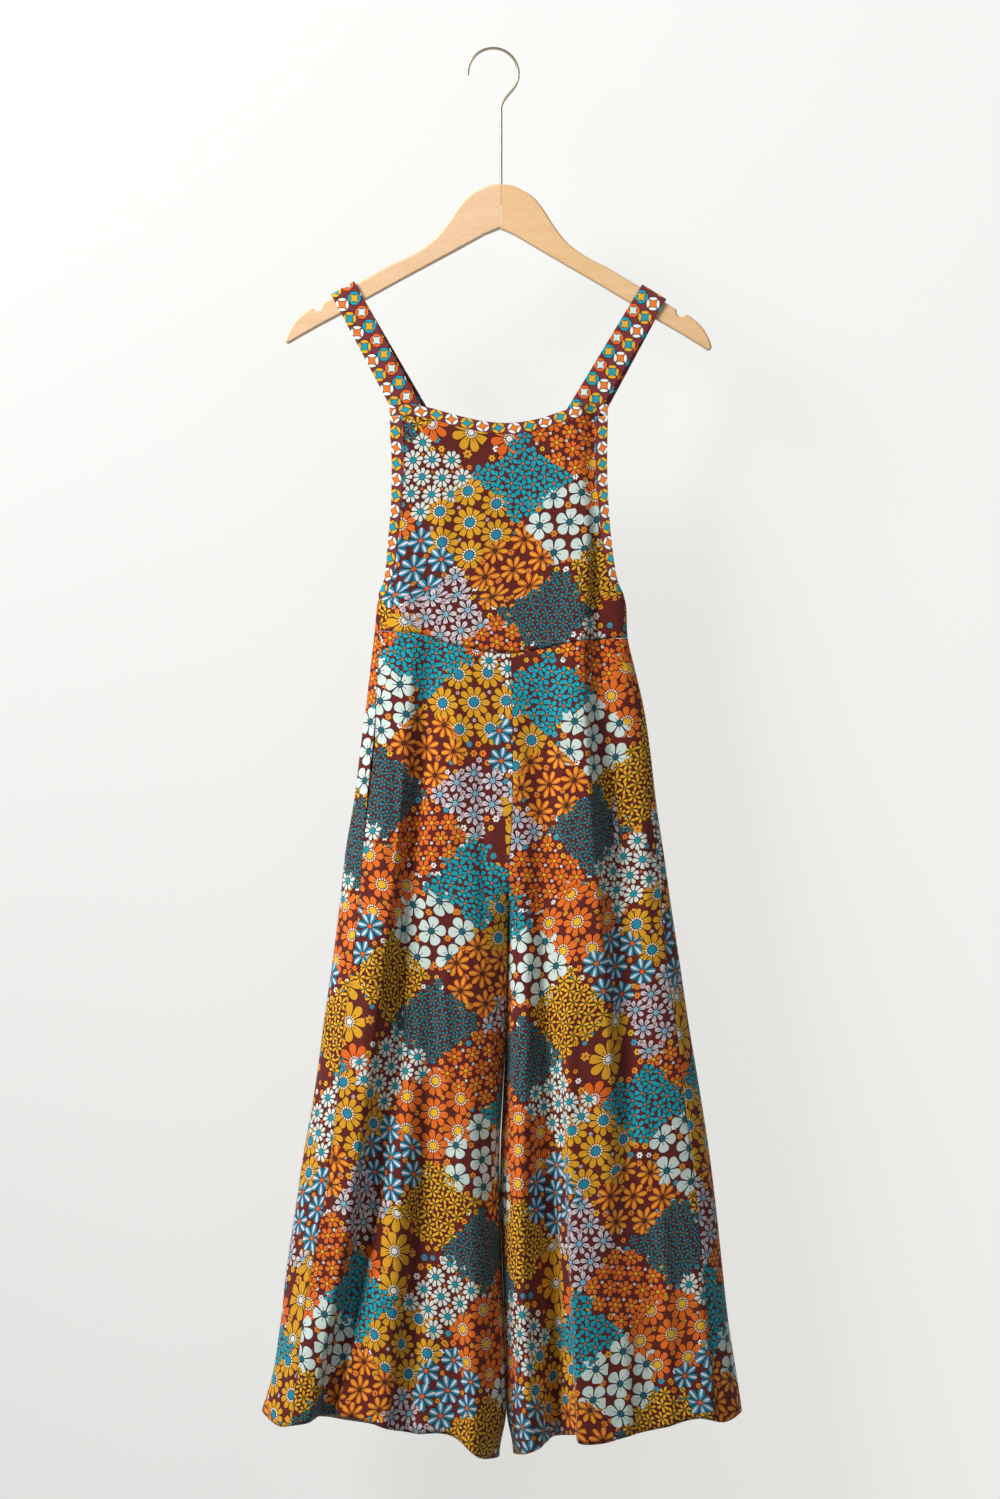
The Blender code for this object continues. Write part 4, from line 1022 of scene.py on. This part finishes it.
# %% The patchwork
patchwork = new_group("flower patchwork", ("Across", "Up"), ("#Colour",))
for row in (
    ("u", "DIVIDE", "in.Across", PATCH_WIDE),
    ("v", "DIVIDE", "in.Up", PATCH_HIGH),
    ("s", "ADD", "u", "v"),
    ("t", "SUBTRACT", "u", "v"),
    ("i", "ROUND", "s"),
    ("j", "ROUND", "t"),
    ("ds", "SUBTRACT", "s", "i"),
    ("dt", "SUBTRACT", "t", "j"),
    ("size s", "ABSOLUTE", "ds"),
    ("size t", "ABSOLUTE", "dt"),
    ("by s", "GREATER_THAN", "size s", "size t"),
    ("by t", "SUBTRACT", 1.0, "by s"),
    ("sign s", "SIGN", "ds"),
    ("sign t", "SIGN", "dt"),
    ("step s", "MULTIPLY", "sign s", "by s"),
    ("step t", "MULTIPLY", "sign t", "by t"),
    ("next i", "ADD", "i", "step s"),
    ("next j", "ADD", "j", "step t"),
):
    add(patchwork, *row)
for name, i, j in (("own", "i", "j"), ("next", "next i", "next j")):
    for row in (
        ("s off", "SUBTRACT", "s", i),
        ("t off", "SUBTRACT", "t", j),
        ("sum", "ADD", name + " s off", name + " t off"),
        ("difference", "SUBTRACT", name + " s off", name + " t off"),
        ("across", "MULTIPLY", name + " sum", PATCH_WIDE / 2),
        ("up", "MULTIPLY", name + " difference", PATCH_HIGH / 2),
        ("i twice", "MULTIPLY", i, 2.0),
        ("count", "MULTIPLY_ADD", j, 3.0, name + " i twice"),
        ("kind", "FLOORED_MODULO", name + " count", float(len(FLOWERS))),
        ("seed j", "MULTIPLY", j, 3.7),
        ("seed", "MULTIPLY_ADD", i, 7.1, name + " seed j"),
        ("patch", "Group", {"node_tree": motif}, name + " across", name + " up",
         name + " kind", name + " seed"),
    ):
        add(patchwork, name + " " + row[0], *row[1:])
STREWN = 9.6
TINY_INKS = ("#F07E1E", "#F4F1EA", "#EDB41C", "#12A2BC", "#F08A1E", "#E8A916")
for row in (
    ("tiny u", "DIVIDE", "in.Across", STREWN),
    ("tiny v", "DIVIDE", "in.Up", STREWN),
    ("tiny place", "Group", {"node_tree": lattice}, "tiny u", "tiny v"),
    ("tiny cell", "CombineXYZ", "tiny place.Column", "tiny place.Row"),
    ("tiny chance", "TexWhiteNoise", {"noise_dimensions": "3D"}, "tiny cell"),
    ("tiny dice", "SeparateColor", "tiny chance.Color"),
    ("tiny x", "MULTIPLY", "tiny place.Middle", STREWN),
    ("tiny y", "MULTIPLY", "tiny place.Row", STREWN),
    ("tiny dx", "SUBTRACT", "in.Across", "tiny x"),
    ("tiny dy", "SUBTRACT", "in.Up", "tiny y"),
    ("tiny share u", "DIVIDE", "tiny x", PATCH_WIDE),
    ("tiny share v", "DIVIDE", "tiny y", PATCH_HIGH),
    ("tiny s", "ADD", "tiny share u", "tiny share v"),
    ("tiny t", "SUBTRACT", "tiny share u", "tiny share v"),
    ("tiny near s", "PINGPONG", "tiny s", 0.5),
    ("tiny near t", "PINGPONG", "tiny t", 0.5),
    ("tiny nearest", "MAXIMUM", "tiny near s", "tiny near t"),
    ("tiny at border", "GREATER_THAN", "tiny nearest", 0.41),
    ("tiny size", "MULTIPLY_ADD", "tiny dice.Green", 1.2, 2.7),
    ("tiny reach", "MULTIPLY", "tiny size", "tiny at border"),
    ("tiny flower", "Group", {"node_tree": floret}, "tiny dx", "tiny dy", "tiny reach"),
    ("tiny colour", "ValToRGB", "tiny dice.Red", {"stops": [linear(ink) for ink in TINY_INKS]}),
    ("tiny heart", "MixRGB", "tiny flower.Heart", "tiny colour", linear("#8E2A20")),
    ("tiny line", "MULTIPLY", "tiny flower.Line", "tiny at border"),
    ("tiny inked", "MixRGB", "tiny line", linear(GROUND), linear(INK)),
    ("ground", "MixRGB", "tiny flower.Petals", "tiny inked", "tiny heart"),
    ("with next", "MixRGB", "next patch.Cover", "ground", "next patch.Colour"),
    ("with own", "MixRGB", "own patch.Cover", "with next", "own patch.Colour"),
    ("out", "NodeGroupOutput", "with own"),
):
    add(patchwork, *row)

# %% [markdown]
# ## The cloths
# The overalls look like viscose or fine cotton in plain weave, printed on one side: matt, with a
# faint sheen where it turns away, and paler on the reverse, where the print only shows through.
# The real threads lie 0.35 mm apart, too fine to show here, so the weave is drawn at 1.1 mm.
# Puckers run into each sewn edge, and a painted shade darkens the cloth along it.

# %% Weave, puckers and a painted shade along the seams, shared by all the cloths
WEAVE = 1.1
relief = new_group("weave, puckers and painted seam shade", ("Across", "Up", "Seam"), ("Height", "Shade"))
for row in (
    ("warp turns", "MULTIPLY", "in.Across", 2 * math.pi / WEAVE),
    ("weft turns", "MULTIPLY", "in.Up", 2 * math.pi / WEAVE),
    ("warp", "SINE", "warp turns"),
    ("weft", "SINE", "weft turns"),
    ("weave", "MULTIPLY", "warp", "weft"),
    ("place", "CombineXYZ", "in.Across", "in.Up"),
    ("slubs", "TexNoise", {"Vector": "place", "Scale": 0.05, "Detail": 3.0}),
    ("pucker noise", "TexNoise", {"Vector": "place", "Scale": 0.13, "Detail": 1.0}),
    ("seam near", "MULTIPLY", "in.Seam", -0.16),
    ("seam fade", "EXPONENT", "seam near"),
    ("puckers", "MULTIPLY", "pucker noise", "seam fade"),
    ("pucker height", "MULTIPLY", "puckers", 1.5),
    ("height", "MULTIPLY_ADD", "weave", 0.035, "pucker height"),
    # Painted shade: the colour darkens close to each sewn edge, where the seam's groove lies in
    # shade.
    ("groove near", "MULTIPLY", "in.Seam", -1.1),
    ("groove", "EXPONENT", "groove near"),
    ("shade slub", "MULTIPLY_ADD", "slubs", 0.16, 0.90),
    ("shade", "MULTIPLY_ADD", "groove", -0.35, "shade slub"),
    ("out", "NodeGroupOutput", "height", "shade"),
):
    add(relief, *row)


def cloth_material(name, colour_rows, reverse=0.0):
    """A cloth whose colour rows end in a node called ink. reverse is how much of it fades."""
    made, tree = new_material(name)
    for row in (
        ("cut", "UVMap", {"uv_map": "cut"}),
        ("flat", "VectorMath SCALE", {0: "cut", "Scale": 1000.0}),
        ("on cloth", "SeparateXYZ", "flat"),
        ("sewing map", "UVMap", {"uv_map": "sewing"}),
        ("sewing", "SeparateXYZ", "sewing map"),
        *colour_rows,
        ("relief", "Group", {"node_tree": relief}, "on cloth.X", "on cloth.Y", "sewing.X"),
        ("faded", "MixRGB", reverse, "ink", linear("#CBB6A9")),
        # The slubs' own tone and the painted shade along each seam darken the colour here.
        ("shaded", "VectorMath SCALE", {0: "faded", "Scale": "relief.Shade"}),
        ("bump", "Bump", {"Strength": 1.0, "Distance": MM, "Height": "relief.Height"}),
        ("cloth", "BsdfPrincipled", {
            "Base Color": "shaded", "Roughness": 0.85, "Specular IOR Level": 0.22,
            "Sheen Weight": 0.12, "Sheen Roughness": 0.45, "Normal": "bump",
        }),
        ("out", "OutputMaterial", "cloth"),
    ):
        add(tree, *row)
    return made


# %% The printed cloth, and its reverse
print_rows = (("ink", "Group", {"node_tree": patchwork}, "on cloth.X", "on cloth.Y"),)
printed = cloth_material("printed viscose, right side", print_rows)
printed_reverse = cloth_material("printed viscose, reverse", print_rows, 0.55)

# %% [markdown]
# The straps and bands are cut from a second print in the same colours: discs 14 mm across in
# straight rows, each with a star of four hollow sides, which is the plain overlap of circles seen
# on tiles and quilts. The disc's and the star's colours swap from row to row.

# %% The trim cloth
DISC_PITCH, DISC_PITCH_ACROSS, DISC = 16.4, 14.2, 7.1
STAR_TURN, STAR_ARC, STAR_ARC_CENTRE = 28.0, 6.9, 10.15
TRIM_DISCS = ("#F0F5EE", "#EDB022", "#12A0B8", "#EC6524")
TRIM_STARS = ("#EE7A26", "#12A0B8", "#EDB022", "#D3EFE6")
trim_rows = (
    ("column place", "DIVIDE", "on cloth.X", DISC_PITCH_ACROSS),
    ("row place", "DIVIDE", "on cloth.Y", DISC_PITCH),
    ("column", "ROUND", "column place"),
    ("row", "ROUND", "row place"),
    ("part x", "SUBTRACT", "column place", "column"),
    ("part y", "SUBTRACT", "row place", "row"),
    ("x", "MULTIPLY", "part x", DISC_PITCH_ACROSS),
    ("y", "MULTIPLY", "part y", DISC_PITCH),
    ("offset", "CombineXYZ", "x", "y"),
    ("away", "VectorMath LENGTH", "offset"),
    ("in line", "LESS_THAN", "away.Value", DISC + 0.35),
    ("in disc", "LESS_THAN", "away.Value", DISC - 0.3),
    # The star is what four arcs leave, each centred outside the disc.
    ("turned star", "VectorRotate", {
        "rotation_type": "Z_AXIS", "Vector": "offset", "Angle": math.radians(STAR_TURN),
    }),
    ("star size", "VectorMath ABSOLUTE", "turned star"),
    ("star axes", "SeparateXYZ", "star size"),
    ("far axis", "MAXIMUM", "star axes.X", "star axes.Y"),
    ("near axis", "MINIMUM", "star axes.X", "star axes.Y"),
    ("to arc centre", "SUBTRACT", "far axis", STAR_ARC_CENTRE),
    ("from arc centre", "CombineXYZ", "to arc centre", "near axis"),
    ("arc distance", "VectorMath LENGTH", "from arc centre"),
    ("star line outside", "GREATER_THAN", "arc distance.Value", STAR_ARC - 0.3),
    ("star outside", "GREATER_THAN", "arc distance.Value", STAR_ARC + 0.3),
    ("in star line", "MULTIPLY", "star line outside", "in disc"),
    ("in star", "MULTIPLY", "star outside", "in disc"),
    # Four pairs of colours, by row and column.
    ("column odd", "FLOORED_MODULO", "column", 2.0),
    ("row odd", "FLOORED_MODULO", "row", 2.0),
    ("pair", "MULTIPLY_ADD", "column odd", 2.0, "row odd"),
    ("pair place", "MULTIPLY_ADD", "pair", 0.25, 0.125),
)
trim = cloth_material("printed trim cloth", (
    *trim_rows,
    ("disc colour", "ValToRGB", "pair place", {"stops": [linear(ink) for ink in TRIM_DISCS]}),
    ("star colour", "ValToRGB", "pair place", {"stops": [linear(ink) for ink in TRIM_STARS]}),
    ("with edge", "MixRGB", "in line", linear("#7A3034"), linear(INK)),
    ("with disc", "MixRGB", "in disc", "with edge", "disc colour"),
    ("with star line", "MixRGB", "in star line", "with disc", linear(INK)),
    ("ink", "MixRGB", "in star", "with star line", "star colour"),
))

# %% [markdown]
# ## The panels
# The bodice first: front and back, each one piece. The print is laid on each panel as it was laid
# on the cutting table, so it breaks at the seams.

# %% Panels of printed cloth
CLOTH = 0.9


def panel(name, node, path, stops, columns, creases, lay, hem):
    """Makes one printed panel. lay is where on the printed cloth its corner was cut."""
    points, normals = grid_of(path, stops, columns)
    points = points + normals * crease_height(points, creases)[..., None]
    across = np.array([along(line) for line in points])
    down = points[..., 2]
    flat = np.stack([across + lay[0], down + lay[1]], axis=-1)
    seam = np.minimum(across, across[:, -1:] - across)
    for sewn_end in (down[:1],) if hem else (down[:1], down[-1:]):
        seam = np.minimum(seam, np.abs(down - sewn_end))
    made = make_sheet(name, points, normals, flat, CLOTH, (printed, printed_reverse), seam)
    settle(made, node)


front_levels = ARMHOLE_LEVELS[:-1] + SIDE_LEVELS
back_levels = (BACK_TOP_Z,) + front_levels[2:]
BODICE_PANELS = (
    # name, node, path, levels, columns, creases, lay, (width, length), area
    ("front_bodice", "bodice_front", bodice_front_path, front_levels, 110, FRONT_CREASES,
     (30, 20), (0.268, 0.245), 0.0513),
    ("back_bodice", "bodice_back", bodice_back_path, back_levels, 120, BACK_CREASES,
     (310, 44), (0.286, 0.220), 0.0444),
)
for name, node, path, levels, columns, creases, lay, cut, area in BODICE_PANELS:
    panel(name, node, path, refined(levels, 4), columns, creases, lay, False)

# %% The four panels of the legs
LEG_ROWS = np.linspace(0, 1, 151)
LEG_PANELS = (
    # name, side, front, columns, lay, (width, length), area
    ("left_leg_front", "left", True, 110, (12, -30), (0.286, 0.839), 0.1666),
    ("left_leg_back", "left", False, 120, (150, 22), (0.379, 0.857), 0.2221),
    ("right_leg_front", "right", True, 110, (66, 8), (0.299, 0.835), 0.1754),
    ("right_leg_back", "right", False, 120, (208, -16), (0.359, 0.854), 0.2102),
)
for name, side, front, columns, lay, cut, area in LEG_PANELS:
    node = f"leg_{'front' if front else 'back'}_{side}"
    panel(name, node, lambda v: leg_path(v, side, front), LEG_ROWS, columns,
          FRONT_CREASES if front else BACK_CREASES, lay, True)


# %% [markdown]
# ## Pocket bags
# Only a sliver shows, through the open mouth in the left side seam. The two plies lie pressed
# together, cut from the same cloth.

# %% Pocket bags
TWO_PLIES, POCKET_BEHIND = 1.6, 2.8
POCKET_BAGS = (
    # side, (width, length), area
    ("left", (0.104, 0.254), 0.0190),
    ("right", (0.097, 0.250), 0.0176),
)
for side, cut, area in POCKET_BAGS:
    points, normals = grid_of(lambda z: pocket_path(z, side), refined(POCKET_LEVELS, 4), 44)
    points = points - normals * POCKET_BEHIND
    flat = np.stack([np.array([along(line) for line in points]), points[..., 2]], axis=-1)
    bag = make_sheet(side + "_pocket_bag", points, normals, flat, TWO_PLIES, (printed,))
    settle(bag, "pocket_" + side)


# %% [markdown]
# ## Bands and straps
# The neckband and the armhole bands are strips folded over the raw edge, so they are a little
# thicker than the cloth and round at the fold. The straps are folded double.

# %% Bands and straps
TRIM_THICK = 2.0


def laid_flat(points, normals):
    """Width and length on a strip as it was cut, with rows across it and columns along it."""
    middle = points[:, points.shape[1] // 2]
    length = along(middle)
    ways = np.gradient(middle, axis=0)
    ways /= np.linalg.norm(ways, axis=1, keepdims=True)
    sides = np.cross(normals[:, points.shape[1] // 2], ways)
    sides /= np.linalg.norm(sides, axis=1, keepdims=True)
    if ((points[:, -1] - points[:, 0]) * sides).sum() < 0:
        sides = -sides
    away = points - middle[:, None]
    width = (away * sides[:, None]).sum(axis=2)
    return width - width.min(), length[:, None] + (away * ways[:, None]).sum(axis=2)


def strip(
    name, path, stops, columns, lengthways, disc_at, squeeze, node
):
    """A strip of the trim cloth. disc_at is how far in from its edge the first discs lie."""
    points, normals = grid_of(path, stops, columns)
    if not lengthways:
        points, normals = points.transpose(1, 0, 2), normals.transpose(1, 0, 2)
    width, length = laid_flat(points, normals)
    flat = np.stack([width * squeeze - disc_at, length], axis=-1)
    made = make_sheet(name, points, normals, flat, TRIM_THICK, (trim,))
    bevel = made.modifiers.new("rounded folds", "BEVEL")
    bevel.width = 0.55 * MM
    bevel.segments = 2
    bevel.limit_method = "ANGLE"
    bpy.context.view_layer.objects.active = made
    bpy.ops.object.modifier_apply(modifier=bevel.name)
    settle(made, node)


# The bands' discs are pressed narrower where the strip turns over the edge.
BAND_SQUEEZE = 1.25
for place, edge, length in (("front", NECK_FRONT, 0.232), ("back", NECK_BACK, 0.227)):
    strip(
        place + "_neckband", lambda v: neckband_path(v, edge, place == "front"),
        np.linspace(0, 1, 9), 150, False, 7.0, BAND_SQUEEZE, "neckband_" + place,
    )
for side in ("left", "right"):
    strip(
        side + "_armhole_band", lambda step: armhole_path(step, side),
        refined(armhole_stops(), 6), 8, True, 6.5, BAND_SQUEEZE, "armhole_band_" + side,
    )
STRAP_ROWS = refined(range(2 * STRAP_STEPS + len(over_arm())), 4)
for side, arm, bib, disc_at, cut, area in STRAPS:
    strip(
        side + "_strap", lambda step: strap_path(step, arm, bib), STRAP_ROWS, 14, True,
        disc_at, 1.0, "strap_" + side,
    )


# %% [markdown]
# ## The hanger
# Two halves of light beech glued on the centre line, the left pinker than the right, planed and
# lacquered to a satin. The grain runs along each arm. Beech shows short darker flecks, 1 to 3 mm
# long.

# %% Beech
def beech(name, light, dark, lean):
    made, tree = new_material(name)
    for row in (
        ("place", "TexCoord"),
        ("along arm", "Mapping", {
            "Vector": "place.Object", "Rotation": (0, lean, 0), "Scale": (1.0, 6.0, 14.0),
        }),
        ("figure", "TexNoise", {
            "Vector": "along arm", "Scale": 9.0, "Detail": 4.0, "Roughness": 0.55,
        }),
        ("fleck place", "Mapping", {
            "Vector": "place.Object", "Rotation": (0, lean, 0), "Scale": (180, 700, 900),
        }),
        ("flecks", "TexNoise", {"Vector": "fleck place", "Scale": 1.0, "Detail": 1.0}),
        ("fleck edge", "MapRange", {0: "flecks", 1: 0.60, 2: 0.72, 3: 0.0, 4: 0.35}),
        ("wood", "MixRGB", "figure", linear(light), linear(dark)),
        ("with flecks", "MixRGB", "fleck edge", "wood", linear("#C99263")),
        ("bump", "Bump", {"Strength": 0.25, "Distance": 0.0002, "Height": "flecks"}),
        ("lacquered", "BsdfPrincipled", {
            "Base Color": "with flecks", "Roughness": 0.42, "Coat Weight": 0.15,
            "Coat Roughness": 0.3, "Normal": "bump",
        }),
        ("out", "OutputMaterial", "lacquered"),
    ):
        add(tree, *row)
    return made


def smooth_copy(node, name, finish, angle):
    """A copy of the CAD node with its loose triangles merged and its round edges smooth."""
    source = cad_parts[node]
    made = bpy.data.objects.new(name, source.data.copy())
    bpy.context.scene.collection.objects.link(made)
    bpy.ops.object.select_all(action="DESELECT")
    made.select_set(True)
    bpy.context.view_layer.objects.active = made
    bpy.ops.object.mode_set(mode="EDIT")
    bpy.ops.mesh.select_all(action="SELECT")
    bpy.ops.mesh.remove_doubles(threshold=1e-6)
    bpy.ops.mesh.dissolve_limited(angle_limit=math.radians(0.3))
    bpy.ops.object.mode_set(mode="OBJECT")
    bpy.ops.object.shade_smooth_by_angle(angle=math.radians(angle))
    flat_faces = made.modifiers.new("flat faces stay flat", "WEIGHTED_NORMAL")
    flat_faces.keep_sharp = True
    bpy.ops.object.modifier_apply(modifier=flat_faces.name)
    made.data.materials.clear()
    made.data.materials.append(finish)
    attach(made, "root")
    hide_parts(node)
    print(name, len(made.data.polygons), "faces")
    return made


# %% The two halves
for side, word, light, dark, lean in (
    ("left", "pinker", "#F1CFA9", "#E4B688", -30),
    ("right", "yellower", "#F1CA9B", "#E0B17A", 30),
):
    wood = beech(f"beech, {word} half", light, dark, math.radians(lean))
    smooth_copy("hanger_" + side, side + "_hanger_half", wood, 50)

# %% [markdown]
# ## The hook
# Steel wire 3 mm thick, nickelled to a warm grey and brushed, so its gloss is broken up.

# %% Nickelled wire
nickel, tree = new_material("brushed nickel plate")
for row in (
    ("place", "TexCoord"),
    ("brush", "Mapping", {"Vector": "place.Object", "Scale": (900, 900, 60)}),
    ("streaks", "TexNoise", {"Vector": "brush", "Scale": 1.0, "Detail": 2.0}),
    ("roughness", "MapRange", {0: "streaks", 3: 0.34, 4: 0.42}),
    ("tone", "MixRGB", "streaks", linear("#A49887"), linear("#AFA393")),
    ("plate", "BsdfPrincipled", {
        "Base Color": "tone", "Metallic": 1.0, "Roughness": "roughness",
    }),
    ("out", "OutputMaterial", "plate"),
):
    add(tree, *row)
smooth_copy("hook", "wire_hook", nickel, 60)
